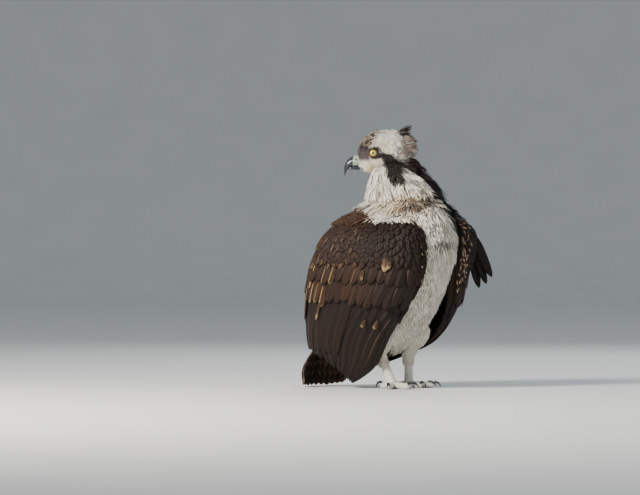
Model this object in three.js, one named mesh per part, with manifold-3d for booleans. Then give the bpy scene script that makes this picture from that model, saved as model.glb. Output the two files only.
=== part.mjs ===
// A life-size osprey that stands with loosely held wings and looks back over its right shoulder.
// Units are millimetres, +Z is up and the body faces -Y, so +X is the bird's left side.
// A place is written as (x, s, z), where s is the reach forward of the feet, which is -Y.

import * as THREE from "three";
import { mergeVertices } from "three/addons/utils/BufferGeometryUtils.js";
import Module from "manifold-3d";

const wasm = await Module();
wasm.setup();
const { Manifold } = wasm;

// Driving sizes
const GAP = 0.4; // left between neighbouring pieces
const FLOOR_BOX = 600;

// Each row is a level of the body: height, front reach, back reach, half width
const TORSO_LEVELS = [
  [74, 4, -58, 28],
  [90, 26, -98, 48],
  [118, 52, -118, 66],
  [160, 80, -128, 78],
  [210, 104, -130, 88],
  [255, 119, -128, 93],
  [295, 124, -120, 94],
  [325, 118, -106, 90],
  [348, 106, -84, 78],
  [366, 90, -49, 58],
];
const TORSO_SIDES = 26;
const TORSO_SQUARE = 2.25; // 2 is an ellipse, more is squarer

// Each row is a level of the neck: height, front reach, back reach, half width, shift to the left
const NECK_LEVELS = [
  [336, 107, -41, 66, -2],
  [360, 95, -43, 63, -6],
  [390, 76, -36, 55, -12],
  [414, 63, -34, 49, -17],
  [436, 42, -30, 36, -21],
];
const NECK_LOW = [0, 35, 332]; // x, s, z of the ends inside the body and the head
const NECK_HIGH = [-23, 0, 450];
const NECK_SIDES = 14;

// The head has its own frame: f is forward along the bill, l is to the bird's left, u is up
const HEAD_CENTRE = { x: -25, s: 0, z: 474 };
const HEAD_TURN = -135; // degrees from the body's heading, to the bird's right
// Each row is a section of the head: f, middle height, half height, half width
const HEAD_SECTIONS = [
  [-43, -7, 12, 11],
  [-36, -6, 23, 20],
  [-24, -2, 34, 28],
  [-8, 1, 38, 31],
  [10, 0, 39, 30.5],
  [29, -3.5, 39.5, 27],
  [42, -6.5, 36, 22.5],
  [51, -9, 30.5, 17.5],
  [58, -12.5, 21.5, 12.5],
];
const HEAD_REAR = [-45, -8]; // f and u of the end behind the last section
const HEAD_SIDES = 18;

const EYE = { f: 31, u: -5, l: 17.2, radius: 8.8 };
const SOCKET = { f: 32, u: -6, l: 30, radius: 13, depth: 9 }; // the hollow the eye sits in
const LID_RADIUS = 8; // of the ring round the eye
const LID_THICKNESS = 1.6;

// The upper bill from the forehead to its hooked tip: f, top height, edge height, half width
const UPPER_BILL = [
  [49, -9, -29, 11],
  [58, -10, -30, 10.6],
  [67, -10, -30.5, 9.6],
  [75, -13, -31.5, 8],
  [82, -19.5, -35, 6],
  [86.5, -28, -41, 4.2],
  [88.2, -38, -47, 2.4],
];
const UPPER_BILL_TIP = [86.6, -52];
const LOWER_BILL = [
  [47, -30.5, -38, 10],
  [59, -31, -38.5, 9],
  [69, -31.6, -38, 7.4],
  [78, -33.6, -38, 4.4],
];
// The crest and the nape's lump under their locks: f, u, then reach along f, across and up
const CREST = { f: -32, u: 10, alongF: 20, across: 18, up: 24 };
const NAPE = { f: -38, u: -29, alongF: 22, across: 24, up: 17 };
const BROW = { f: 32, l: 19, u: 5.5, length: 15, width: 6.5, height: 4 };
const MOUTH = { fromF: 55, toF: 36, u: -31, drop: 3, inner: 8, outer: 30, height: 1 };
const LOWER_BILL_TIP = [82, -38];
const NOSTRIL = { f: 64.5, l: 10, u: -18, length: 3, height: 1.2, depth: 2.6 };

// Each row is a level of a wing, which hangs like a cloak round the flank:
// place along the feathers, front edge (s, z, x), rear edge (s, z, x), widest x
const WING_LEVELS = {
  right: [
    [-0.1, 74, 346, 40, -64, 350, 14, 70],
    [0.0, 96, 330, 58, -98, 330, 14, 108],
    [0.12, 115, 296, 54, -130, 294, 8, 136],
    [0.3, 116, 226, 60, -160, 224, 5, 146],
    [0.47, 82, 158, 69, -173, 152, 4, 134],
    [0.62, 40, 100, 74, -177, 90, 6, 114],
    [0.8, -4, 46, 64, -160, 50, 30, 88],
    [1.0, -68, 6, 54, -128, 10, 40, 62],
  ],
  left: [
    [-0.1, 76, 352, 42, -64, 350, 14, 76],
    [0.0, 100, 336, 60, -96, 330, 14, 122],
    [0.12, 120, 300, 58, -128, 294, 8, 160],
    [0.3, 108, 226, 58, -156, 224, 5, 150],
    [0.47, 93, 160, 62, -172, 152, 4, 128],
    [0.62, 46, 98, 66, -177, 90, 6, 104],
    [0.8, -34, 62, 62, -158, 60, 30, 84],
    [1.0, -98, 40, 52, -140, 34, 40, 60],
  ],
};
const CORE_DEPTH = 1.8; // from the feathers' surface down to the wing's core
const CORE_END = 0.47; // place along the wing where its solid core ends
const CORE_ROWS = [-0.1, -0.01, 0.1, 0.22, 0.35, CORE_END];
const CORE_ACROSS = 9;
// How deep each tier's surface is taken in, so that the tiers over it end level: t, depth
const TIER_TAPER = [
  [-0.1, 10.8],
  [0.08, 10.8],
  [0.2, 7.2],
  [0.3, 3.6],
  [0.42, 0],
  [1, 0],
];
const TIER_STEP = 3.6; // from one tier of vanes to the next
const VANE_TILT = 1.1; // how far an edge of a vane rises over the next one
const VANE_THICKNESS = 0.8;
const LOCK_THICKNESS = 1.1;
const ROOT_DEPTH = 7;
const VANE_RISE = 0.35; // share of its length over which a vane comes up out of the core
// Tiers of a wing's vanes: how many, girth places of the first and last roots and tips,
// places along of the roots, of the first, middle and last tips, half width, tier
const WING_TIERS = {
  primaries: {
    count: 7, roots: [0.04, 0.38], tips: [0.04, 0.62],
    from: 0.38, to: [0.98, 0.92, 0.74], half: 18, tier: -1,
  },
  secondaries: {
    count: 8, roots: [0.4, 0.96], tips: [0.43, 0.96],
    from: 0.37, to: [0.69, 0.66, 0.63], half: 24, tier: 0,
  },
  greaterCoverts: {
    count: 6, roots: [0.07, 0.64], tips: [0.06, 0.66],
    from: 0.24, to: [0.46, 0.43, 0.41], half: 28, tier: 1,
  },
  tertials: {
    count: 3, roots: [0.77, 0.94], tips: [0.76, 0.94],
    from: 0.26, to: [0.5, 0.54, 0.56], half: 22, tier: 1,
  },
  medianCoverts: {
    count: 6, roots: [0.06, 0.6], tips: [0.05, 0.62],
    from: 0.14, to: [0.3, 0.28, 0.28], half: 27, tier: 2,
  },
  scapulars: {
    count: 4, roots: [0.72, 0.95], tips: [0.72, 0.94],
    from: 0.0, to: [0.3, 0.33, 0.36], half: 21, tier: 2,
  },
  lesserCoverts: {
    count: 5, roots: [0.08, 0.6], tips: [0.06, 0.62],
    from: 0.03, to: [0.18, 0.17, 0.16], half: 30, tier: 3,
  },
};
// Loose vanes of the left wrist: root (x, s, z), tip (x, s, z), half width
const WRIST_LOCKS = [
  [126, 104, 300, 153, 124, 222, 11],
  [128, 98, 292, 148, 114, 208, 11],
  [126, 92, 284, 140, 102, 200, 10],
];
const WING_SQUARE = 2.7;
const WING_THICKNESS = [
  [-0.1, 40],
  [0, 38],
  [0.12, 30],
  [0.3, 22],
  [0.5, 14],
];

// Each row is a level of the tail: place along it, height, back reach, how far its
// edges wrap forward, half width, shift to the left
const TAIL_LEVELS = [
  [0, 190, -108, 10, 32, -2],
  [0.3, 128, -142, 15, 42, -4],
  [0.48, 92, -164, 20, 50, -8],
  [0.6, 68, -184, 26, 58, -11],
  [0.8, 34, -200, 32, 66, -14],
  [1, 0.5, -199, 34, 63, -16],
];
const TAIL_WRAP = 75; // degrees from the middle to an edge
const TAIL_THICKNESS = 9;
const TAIL_CORE_END = 0.5;
const TAIL_CORE_EDGE = 0.94;
const TAIL_ROOM = { end: 0.62, edge: 1.08, rise: 3.6 }; // kept free of the wings
const TAIL_FEATHERS = { count: 12, from: 0.3, rootSpread: 0.7, tipSpread: 0.95, half: 10.5, tilt: 1 };

const FEET = {
  right: { x: -37, s: 20, ankleS: -12, ankleZ: 76, toeOut: 12 },
  left: { x: 37, s: 3, ankleS: 2, ankleZ: 74, toeOut: 16 },
};
const TARSUS_RADII = [9.6, 8.2, 10.2]; // at the ankle, halfway down and at the foot
const THIGH_TOP = { x: 42, s: 24, z: 132 };
const THIGH_RADII = [30, 26, 17.5, 11.5]; // from the top down to the ankle
// Each toe: heading from the foot's own, outwards, length, claw's length
const TOES = {
  inner: [-30, 38, 27],
  middle: [0, 50, 28],
  outer: [48, 42, 26],
  hind: [178, 30, 28],
};
const TOE_RADIUS = 6.2;
const CLAW_RADIUS = 3.4;

// Locks of the crest: root (f, l, u), tip (f, l, u), half width
const CREST_LOCKS = [
  [-22, -3, 32, -46, -4, 47, 5],
  [-24, 5, 31, -43, 8, 42, 5],
  [-20, -12, 29, -40, -17, 38, 5.5],
  [-22, 13, 28, -42, 18, 33, 5.5],
  [-32, -10, 23, -51, -13, 25, 6],
  [-33, 10, 22, -52, 13, 21, 6],
  [-40, -3, 18, -59, -5, 18, 6],
  [-39, 6, 15, -57, 9, 9, 6],
  [-40, -10, 9, -56, -15, 3, 6],
  [-42, 1, 7, -59, 2, 0, 6.5],
  [-41, 11, 3, -55, 16, -6, 6],
  [-41, -8, -3, -55, -12, -12, 6.5],
];
// Locks of the nape: root (f, l, u), tip (f, l, u), half width
const NAPE_LOCKS = [
  [-42, 0, -22, -75, -2, -40, 8],
  [-40, 12, -20, -66, 18, -38, 8],
  [-40, -12, -20, -66, -18, -40, 8],
  [-34, 18, -26, -56, 26, -46, 8],
  [-34, -18, -26, -56, -26, -48, 8],
  [-44, 6, -34, -70, 9, -54, 8],
];
// Wind-blown hackles down the left of the neck: root (angle, z), tip (x, s, z), half width
const HACKLES = [
  [50, 440, 41, 52, 418, 9],
  [36, 428, 62, 60, 394, 10],
  [64, 424, 47, 75, 391, 10],
  [26, 410, 71, 52, 373, 10],
  [50, 408, 63, 73, 375, 10],
  [72, 400, 46, 88, 364, 10],
  [36, 390, 77, 65, 357, 11],
  [60, 386, 67, 84, 350, 11],
  [27, 370, 91, 64, 346, 11],
  [50, 366, 84, 88, 344, 11],
];
// Rows of the neck's ruff: root height, drop to the tip, locks round the neck, lift of the tips
const RUFF_ROWS = [
  [432, 40, 6, 4],
  [404, 42, 6, 5],
  [380, 42, 6, 6],
];
const RUFF_HALF_WIDTH = 21;

// Small helpers
const place = (x, s, z) => new THREE.Vector3(x, -s, z);
const radians = THREE.MathUtils.degToRad;
const lerp = THREE.MathUtils.lerp;
const power = (value, n) => Math.sign(value) * Math.abs(value) ** (2 / n);
const clampUnit = (value) => THREE.MathUtils.clamp(value, 0, 1);

// A repeatable random number from 0 to 1
function seeded(seed) {
  let state = seed;
  return () => {
    state = (state + 0x6d2b79f5) | 0;
    let mixed = Math.imul(state ^ (state >>> 15), 1 | state);
    mixed = (mixed + Math.imul(mixed ^ (mixed >>> 7), 61 | mixed)) ^ mixed;
    return ((mixed ^ (mixed >>> 14)) >>> 0) / 4294967296;
  };
}

function pointsOf(geometry) {
  const position = geometry.attributes.position;
  return Array.from({ length: position.count }, (_, i) =>
    new THREE.Vector3().fromBufferAttribute(position, i)
  );
}

// A smooth row of values at t, between rows whose first value is their place
function smoothRow(rows, t) {
  const last = rows.length - 1;
  let i = 0;
  while (i < last - 1 && t > rows[i + 1][0]) i++;
  const a = rows[i];
  const b = rows[i + 1];
  const before = rows[Math.max(0, i - 1)];
  const after = rows[Math.min(last, i + 2)];
  const step = b[0] - a[0];
  const p = THREE.MathUtils.clamp((t - a[0]) / step, 0, 1);
  return a.slice(1).map((value, k) => {
    const next = b[k + 1];
    const slopeA = ((next - before[k + 1]) / (b[0] - before[0])) * step;
    const slopeB = ((after[k + 1] - value) / (after[0] - a[0])) * step;
    const p2 = p * p;
    const p3 = p2 * p;
    return (
      (2 * p3 - 3 * p2 + 1) * value +
      (p3 - 2 * p2 + p) * slopeA +
      (3 * p2 - 2 * p3) * next +
      (p3 - p2) * slopeB
    );
  });
}

// Solids
function solidOf(vertices, triangles) {
  const geometry = new THREE.BufferGeometry().setAttribute(
    "position",
    new THREE.Float32BufferAttribute(vertices.flatMap((v) => [v.x, v.y, v.z]), 3)
  );
  geometry.setIndex(triangles);
  const merged = mergeVertices(geometry, 1e-4);
  const position = merged.attributes.position.array;
  const index = Array.from(merged.index.array);
  const kept = [];
  for (let i = 0; i < index.length; i += 3) {
    const [a, b, c] = index.slice(i, i + 3);
    if (a !== b && b !== c && a !== c) kept.push(a, b, c);
  }
  const build = (list) =>
    new Manifold(
      new wasm.Mesh({ numProp: 3, vertProperties: position, triVerts: new Uint32Array(list) })
    );
  const solid = build(kept);
  if (solid.volume() > 0) return solid;
  for (let i = 0; i < kept.length; i += 3) [kept[i + 1], kept[i + 2]] = [kept[i + 2], kept[i + 1]];
  return build(kept);
}

// A closed skin over rings of equal counts, with a point at each end
function loft(rings, startPoint, endPoint) {
  const vertices = rings.flat();
  const n = rings[0].length;
  const triangles = [];
  for (let i = 0; i + 1 < rings.length; i++) {
    for (let j = 0; j < n; j++) {
      const k = (j + 1) % n;
      const [a, b, c, d] = [i * n + j, i * n + k, (i + 1) * n + k, (i + 1) * n + j];
      triangles.push(a, b, c, a, c, d);
    }
  }
  const start = vertices.push(startPoint) - 1;
  const end = vertices.push(endPoint) - 1;
  const top = (rings.length - 1) * n;
  for (let j = 0; j < n; j++) {
    const k = (j + 1) % n;
    triangles.push(start, k, j, end, top + j, top + k);
  }
  return solidOf(vertices, triangles);
}

// A closed plate: rows of points that each have an outer and an inner place,
// split into triangles alike on both faces
function plate(rows) {
  const m = rows[0].length;
  const count = rows.length * m;
  const vertices = [...rows.flat().map((p) => p.outer), ...rows.flat().map((p) => p.inner)];
  const triangles = [];
  const wall = (a, b) => triangles.push(a, b, b + count, a, b + count, a + count);
  for (let i = 0; i + 1 < rows.length; i++) {
    for (let j = 0; j + 1 < m; j++) {
      const [a, b, c, d] = [i * m + j, i * m + j + 1, (i + 1) * m + j + 1, (i + 1) * m + j];
      triangles.push(a, c, b, a, d, c);
      triangles.push(a + count, b + count, c + count, a + count, c + count, d + count);
    }
    wall((i + 1) * m, i * m);
    wall(i * m + m - 1, (i + 1) * m + m - 1);
  }
  for (let j = 0; j + 1 < m; j++) {
    wall(j, j + 1);
    wall((rows.length - 1) * m + j + 1, (rows.length - 1) * m + j);
  }
  return solidOf(vertices, triangles);
}

// Places along a vane and its share of the full width there
const LONG_VANE = [
  [0, 0.8],
  [0.35, 1],
  [0.7, 0.95],
  [0.91, 0.66],
  [1, 0.16],
];
const MIDDLE_VANE = [
  [0, 0.8],
  [0.35, 1],
  [0.82, 0.8],
  [1, 0.22],
];
const SHORT_VANE = [
  [0, 0.85],
  [0.62, 1],
  [1, 0.34],
];
const LONG_LOCK = [
  [0, 0.75],
  [0.4, 1],
  [0.78, 0.66],
  [1, 0.12],
];
const SHORT_LOCK = [
  [0, 0.9],
  [0.6, 1],
  [1, 0.2],
];

// A vane that follows a surface: at(along, across) gives the point at a share of its
// length and -1 to 1 across it, and the way out of the surface
function vaneOn(profile, at, level, tilt) {
  return plate(
    profile.map(([along, share]) => {
      const risen = clampUnit(along / VANE_RISE);
      const lift = lerp(-ROOT_DEPTH, 0, risen * (2 - risen)) + level(along) * risen;
      return [-1, 0, 1].map((across) => {
        const { point, out } = at(along, across * share);
        const height = lift + tilt * across * share;
        return {
          outer: point.clone().addScaledVector(out, height),
          inner: point.clone().addScaledVector(out, height - VANE_THICKNESS),
        };
      });
    })
  );
}

// A flat tapered lock from a root to a tip, that bends out on its way
function lock(profile, root, tip, out, halfWidth, bend, grow = 0) {
  const half = LOCK_THICKNESS / 2 + grow;
  const along = tip.clone().sub(root);
  const across = along.clone().cross(out).normalize();
  const normal = across.clone().cross(along).normalize();
  return plate(
    profile.map(([k, share]) => {
      const middle = root.clone().addScaledVector(along, k).addScaledVector(normal, bend * 4 * k * (1 - k));
      return [-1, 1].map((side) => {
        const edge = middle.clone().addScaledVector(across, side * (halfWidth * share + grow));
        return {
          outer: edge.clone().addScaledVector(normal, half),
          inner: edge.clone().addScaledVector(normal, -half),
        };
      });
    })
  );
}

const joined = (solids) => Manifold.union(solids);

// A round limb through points, with a radius at each of them
function limb(points, radii, sides = 10, steps = 8) {
  const curve = new THREE.CatmullRomCurve3(points, false, "centripetal");
  const frames = curve.computeFrenetFrames(steps, false);
  const rings = [];
  for (let i = 0; i <= steps; i++) {
    const t = i / steps;
    const centre = curve.getPoint(t);
    const k = Math.min(radii.length - 2, Math.floor(t * (radii.length - 1)));
    const radius = lerp(radii[k], radii[k + 1], t * (radii.length - 1) - k);
    rings.push(
      Array.from({ length: sides }, (_, j) => {
        const angle = (2 * Math.PI * j) / sides;
        return centre
          .clone()
          .addScaledVector(frames.normals[i], radius * Math.cos(angle))
          .addScaledVector(frames.binormals[i], radius * Math.sin(angle));
      })
    );
  }
  const start = points[0].clone().addScaledVector(frames.tangents[0], -radii[0] * 0.6);
  const tip = points[points.length - 1];
  const end = tip.clone().addScaledVector(frames.tangents[steps], radii[radii.length - 1] * 0.8);
  return loft(rings, start, end);
}

// Ellipsoid with three radii, the first and second turned about Z
function ellipsoid(centre, rx, ry, rz, turn = 0, sides = 12) {
  const geometry = new THREE.SphereGeometry(1, sides, Math.round(sides * 0.65));
  geometry.scale(rx, ry, rz);
  geometry.rotateZ(turn);
  geometry.translate(centre.x, centre.y, centre.z);
  return solidOf(pointsOf(geometry), Array.from(geometry.index.array));
}

// Of a solid in several pieces, the largest, with any sealed hollow filled
function largest(solid) {
  const bodies = solid.decompose();
  return bodies.reduce((best, body) => (body.volume() > best.volume() ? body : best));
}

function floorBox() {
  const geometry = new THREE.BoxGeometry(2 * FLOOR_BOX, 2 * FLOOR_BOX, 2 * FLOOR_BOX);
  geometry.translate(0, 0, FLOOR_BOX);
  return solidOf(pointsOf(geometry), Array.from(geometry.index.array));
}

// Body

// A level's closed ring, as a squared ellipse between its front and back reach
function levelRing(z, front, back, half, shift, grow, square, sides) {
  const middle = (front + back) / 2;
  const depth = (front - back) / 2 + grow;
  return Array.from({ length: sides }, (_, j) => {
    const angle = (2 * Math.PI * j) / sides;
    const across = (half + grow) * power(Math.cos(angle), square);
    return place(shift + across, middle + depth * power(Math.sin(angle), square), z);
  });
}

function torsoSolid(grow = 0) {
  const rings = TORSO_LEVELS.map(([z, front, back, half]) =>
    levelRing(z, front, back, half, 0, grow, TORSO_SQUARE, TORSO_SIDES)
  );
  const low = place(0, -22, TORSO_LEVELS[0][0] - 8 - grow);
  const high = place(-5, 22, TORSO_LEVELS[TORSO_LEVELS.length - 1][0] + 10 + grow);
  return loft(rings, low, high);
}

function neckSolid(grow = 0) {
  const rings = NECK_LEVELS.map(([z, front, back, half, shift]) =>
    levelRing(z, front, back, half, shift, grow, 2, NECK_SIDES)
  );
  return loft(rings, place(...NECK_LOW), place(...NECK_HIGH));
}

// A place on the neck's surface at a height and an angle from the bird's left to its front
function neckPlace(z, angle, lift) {
  const [front, back, half, shift] = smoothRow(NECK_LEVELS, z);
  const x = shift + (half + lift) * Math.cos(angle);
  return place(x, (front + back) / 2 + ((front - back) / 2 + lift) * Math.sin(angle), z);
}

function ruffSolids() {
  const random = seeded(7);
  const locks = [];
  RUFF_ROWS.forEach(([height, drop, count, tipLift], row) => {
    for (let i = 0; i < count; i++) {
      const angle = (2 * Math.PI * (i + (row % 2) / 2 + 0.2 * random())) / count;
      const out = place(Math.cos(angle), Math.sin(angle), 0.3);
      const root = neckPlace(height + 5 * random(), angle, -ROOT_DEPTH - 1);
      const lift = tipLift + 2 * random();
      const tip = neckPlace(height - drop * (0.9 + 0.2 * random()), angle + 0.16 * (random() - 0.5), lift);
      locks.push(lock(SHORT_LOCK, root, tip, out, RUFF_HALF_WIDTH * (0.85 + 0.2 * random()), 3.4));
    }
  });
  for (const [degrees, height, x, s, z, half] of HACKLES) {
    const angle = radians(degrees);
    const root = neckPlace(height, angle, -ROOT_DEPTH - 1);
    locks.push(lock(LONG_LOCK, root, place(x, s, z), place(Math.cos(angle), Math.sin(angle), 0.5), half, 7));
  }
  return locks;
}

// Head, in its own frame
const headTurn = radians(HEAD_TURN);
const headOrigin = place(HEAD_CENTRE.x, HEAD_CENTRE.s, HEAD_CENTRE.z);
// The bill's heading: -Y turned about Z; a turn to the bird's right is negative
const headForward = new THREE.Vector3(Math.sin(headTurn), -Math.cos(headTurn), 0);
const headLeft = new THREE.Vector3(Math.cos(headTurn), Math.sin(headTurn), 0);
function onHead(f, l, u) {
  return headOrigin
    .clone()
    .addScaledVector(headForward, f)
    .addScaledVector(headLeft, l)
    .add(new THREE.Vector3(0, 0, u));
}

function headRing(f, middle, halfHeight, halfWidth, sides, square = 2) {
  return Array.from({ length: sides }, (_, j) => {
    const angle = (2 * Math.PI * j) / sides;
    const l = halfWidth * power(Math.cos(angle), square);
    return onHead(f, l, middle + halfHeight * power(Math.sin(angle), square));
  });
}

function skullSolid(grow = 0) {
  const rings = HEAD_SECTIONS.map(([f, middle, halfHeight, halfWidth]) =>
    headRing(f, middle, halfHeight + grow, halfWidth + grow, HEAD_SIDES)
  );
  const last = HEAD_SECTIONS[HEAD_SECTIONS.length - 1];
  const [rearF, rearU] = HEAD_REAR;
  return loft(rings, onHead(rearF - grow, 0, rearU), onHead(last[0] + 2 + grow, 0, last[1]));
}

// A bill half: rows of f, top, edge and half width, rounded on top or below
function billSolid(rows, tip, grow = 0) {
  const rings = rows.map(([f, top, edge, half]) =>
    headRing(f, (top + edge) / 2, (top - edge) / 2 + grow, half + grow, 12, 2.3)
  );
  const first = rows[0];
  return loft(rings, onHead(first[0] - 2, 0, (first[1] + first[2]) / 2), onHead(tip[0], 0, tip[1]));
}

function headMass(form, grow) {
  return ellipsoid(
    onHead(form.f, 0, form.u),
    form.across + grow,
    form.alongF + grow,
    form.up + grow,
    headTurn,
    10
  );
}

// The crest behind the crown and the lump of hackles on the nape
function napeSolid(grow = 0) {
  return headMass(CREST, grow).add(headMass(NAPE, grow));
}

function headLocks(grow = 0) {
  return [...CREST_LOCKS, ...NAPE_LOCKS].map(([f, l, u, tipF, tipL, tipU, half]) => {
    const root = onHead(f, l, u);
    const out = onHead(f * 0.5, l, u + 30).sub(headOrigin);
    return lock(LONG_LOCK, root, onHead(tipF, tipL, tipU), out, half, 2.5, grow);
  });
}

function browSolid(side) {
  const centre = onHead(BROW.f, side * BROW.l, BROW.u);
  return ellipsoid(centre, BROW.width, BROW.length, BROW.height, headTurn, 10);
}

// The line of the mouth behind the bill, cut in from a side
function mouthSolid(side) {
  const at = (f, l, u) => onHead(f, side * l, u);
  return plate(
    [0, 0.5, 1].map((k) => {
      const f = lerp(MOUTH.fromF, MOUTH.toF, k);
      const u = MOUTH.u - MOUTH.drop * k * k;
      return [MOUTH.inner, MOUTH.outer].map((l) => ({
        outer: at(f, l, u + MOUTH.height / 2),
        inner: at(f, l, u - MOUTH.height / 2),
      }));
    })
  );
}

function nostrilSolid(side) {
  const centre = onHead(NOSTRIL.f, side * NOSTRIL.l, NOSTRIL.u);
  return ellipsoid(centre, NOSTRIL.depth, NOSTRIL.length, NOSTRIL.height, headTurn, 6);
}

function eyePlace(side) {
  return onHead(EYE.f, side * EYE.l, EYE.u);
}

function socketSolid(side) {
  const centre = onHead(SOCKET.f, side * SOCKET.l, SOCKET.u);
  return ellipsoid(centre, SOCKET.depth, SOCKET.radius, SOCKET.radius, headTurn);
}

function lidRing(side) {
  const geometry = new THREE.TorusGeometry(LID_RADIUS, LID_THICKNESS, 4, 14);
  // the ring faces outwards and a little forwards and up
  const out = headLeft.clone().multiplyScalar(side).addScaledVector(headForward, 0.35).normalize();
  const turn = new THREE.Quaternion().setFromUnitVectors(new THREE.Vector3(0, 0, 1), out);
  geometry.applyQuaternion(turn);
  const centre = eyePlace(side).addScaledVector(out, 3.6);
  geometry.translate(centre.x, centre.y, centre.z);
  return solidOf(pointsOf(geometry), Array.from(geometry.index.array));
}

// Wings

// A level's curve from the front edge round the flank to the rear edge, as evenly spaced points
const WING_SAMPLES = 60;
const knownCurves = new Map();
function wingCurve(side, t) {
  const key = side * 10 + t;
  if (!knownCurves.has(key)) knownCurves.set(key, wingCurveAt(side, t));
  return knownCurves.get(key);
}

function wingCurveAt(side, t) {
  const levels = WING_LEVELS[side > 0 ? "left" : "right"];
  const [frontS, frontZ, frontX, rearS, rearZ, rearX, widest] = smoothRow(levels, t);
  const points = [];
  for (let i = 0; i <= WING_SAMPLES; i++) {
    const angle = (Math.PI * i) / WING_SAMPLES;
    const along = (1 - power(Math.cos(angle), WING_SQUARE)) / 2;
    const bulge = power(Math.sin(angle), WING_SQUARE);
    const inner = lerp(frontX, rearX, along);
    const s = lerp(frontS, rearS, along);
    points.push(place(side * (inner + (widest - inner) * bulge), s, lerp(frontZ, rearZ, along)));
  }
  const lengths = [0];
  for (let i = 1; i < points.length; i++) {
    lengths.push(lengths[i - 1] + points[i].distanceTo(points[i - 1]));
  }
  const centre = place(side * lerp(frontX, rearX, 0.5), lerp(frontS, rearS, 0.5), lerp(frontZ, rearZ, 0.5));
  return { points, lengths, girth: lengths[WING_SAMPLES], centre };
}

function wingPoint(side, t, v) {
  const { points, lengths, girth, centre } = wingCurve(side, t);
  const wanted = clampUnit(v) * girth;
  let i = 1;
  while (i < WING_SAMPLES && lengths[i] < wanted) i++;
  const p = (wanted - lengths[i - 1]) / (lengths[i] - lengths[i - 1]);
  return { point: points[i - 1].clone().lerp(points[i], p), girth, centre };
}

// The solid inside a wing, from the shoulder to where the vanes hang free
function wingCore(side) {
  return plate(
    CORE_ROWS.map((t) => {
      const [thickness] = smoothRow(WING_THICKNESS, t);
      return Array.from({ length: CORE_ACROSS + 1 }, (_, j) => {
        const { point, centre } = wingPoint(side, t, j / CORE_ACROSS);
        const inwards = centre.clone().sub(point).normalize();
        return {
          outer: point.clone().addScaledVector(inwards, CORE_DEPTH),
          inner: point.clone().addScaledVector(inwards, CORE_DEPTH + thickness),
        };
      });
    })
  );
}

// Of three values, the one at a share from the first to the last
const amongThree = ([a, b, c], k) => (k < 0.5 ? lerp(a, b, 2 * k) : lerp(b, c, 2 * k - 1));

function wingVanes(side) {
  const random = seeded(side > 0 ? 11 : 23);
  const vanes = [];
  for (const { count, roots, tips, from, to, half, tier } of Object.values(WING_TIERS)) {
    const profile = tier < 0 ? LONG_VANE : tier < 2 ? MIDDLE_VANE : SHORT_VANE;
    for (let i = 0; i < count; i++) {
      const k = count > 1 ? i / (count - 1) : 0;
      const rootV = lerp(...roots, k);
      const tipV = lerp(...tips, k) + 0.012 * (random() - 0.5);
      const end = amongThree(to, k) + 0.02 * (random() - 0.5);
      const wide = half * (0.95 + 0.12 * random());
      const start = from + 0.012 * random();
      const at = (along, across) => {
        const t = lerp(start, end, along);
        const { girth } = wingPoint(side, t, 0);
        const v = lerp(rootV, tipV, along) - (across * wide) / girth;
        const { point, centre } = wingPoint(side, t, v);
        return { point, out: point.clone().sub(centre).normalize() };
      };
      const level = (along) => tier * TIER_STEP - smoothRow(TIER_TAPER, lerp(start, end, along))[0];
      vanes.push(vaneOn(profile, at, level, VANE_TILT));
    }
  }
  if (side > 0) {
    for (const [x, s, z, tipX, tipS, tipZ, half] of WRIST_LOCKS) {
      vanes.push(lock(LONG_LOCK, place(x, s, z), place(tipX, tipS, tipZ), place(-0.5, 0.85, 0.1), half, -3));
    }
  }
  return vanes;
}

function wingSolid(side) {
  return joined([wingCore(side), ...wingVanes(side)]);
}

// Tail
function tailPoint(along, across) {
  const [z, back, wrap, half, shift] = smoothRow(TAIL_LEVELS, along);
  const angle = radians(TAIL_WRAP * across);
  const inwards = place(-Math.sin(angle), Math.cos(angle), 0);
  const point = place(shift + half * Math.sin(angle), back + wrap * (1 - Math.cos(angle)), z);
  return { point, inwards };
}

function tailSheet(end, edge, rise) {
  const rows = [];
  for (let i = 0; i <= 3; i++) {
    rows.push(
      Array.from({ length: 8 }, (_, j) => {
        const { point, inwards } = tailPoint((end * i) / 3, ((2 * j) / 7 - 1) * edge);
        return {
          outer: point.clone().addScaledVector(inwards, -rise),
          inner: point.clone().addScaledVector(inwards, CORE_DEPTH + TAIL_THICKNESS + GAP),
        };
      })
    );
  }
  return plate(rows);
}

// The middle feathers lie over the outer ones, and the middle pair one on the other
function tailVanes() {
  const random = seeded(31);
  const { count, from, rootSpread, tipSpread, half, tilt } = TAIL_FEATHERS;
  return Array.from({ length: count }, (_, i) => {
    const rank = i - (count - 1) / 2;
    const share = rank / ((count - 1) / 2);
    const inner = Math.abs(rank) < 1;
    const raise = inner ? (rank > 0 ? 2 : 0.4) : 0;
    const end = 1 - 0.03 * share * share - 0.012 * random();
    const at = (along, across) => {
      const t = lerp(from, end, along);
      const width = smoothRow(TAIL_LEVELS, t)[3] * radians(TAIL_WRAP);
      const where = lerp(rootSpread, tipSpread, along) * share + (across * half) / width;
      const { point, inwards } = tailPoint(t, where);
      return { point, out: inwards.multiplyScalar(-1) };
    };
    return vaneOn(MIDDLE_VANE, at, () => raise, inner ? 0 : Math.sign(rank) * tilt);
  });
}

// Legs
const sideOf = { left: 1, right: -1 };
function thighSolid(name, grow = 0) {
  const foot = FEET[name];
  const side = sideOf[name];
  const top = place(side * THIGH_TOP.x, THIGH_TOP.s, THIGH_TOP.z);
  const knee = place(side * 40, foot.ankleS + 12, 104);
  const shin = place(side * 38.5, foot.ankleS + 4, 84);
  const ankle = place(foot.x, foot.ankleS, foot.ankleZ - 10);
  return limb([top, knee, shin, ankle], THIGH_RADII.map((radius) => radius + grow), 12, 6);
}

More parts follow.
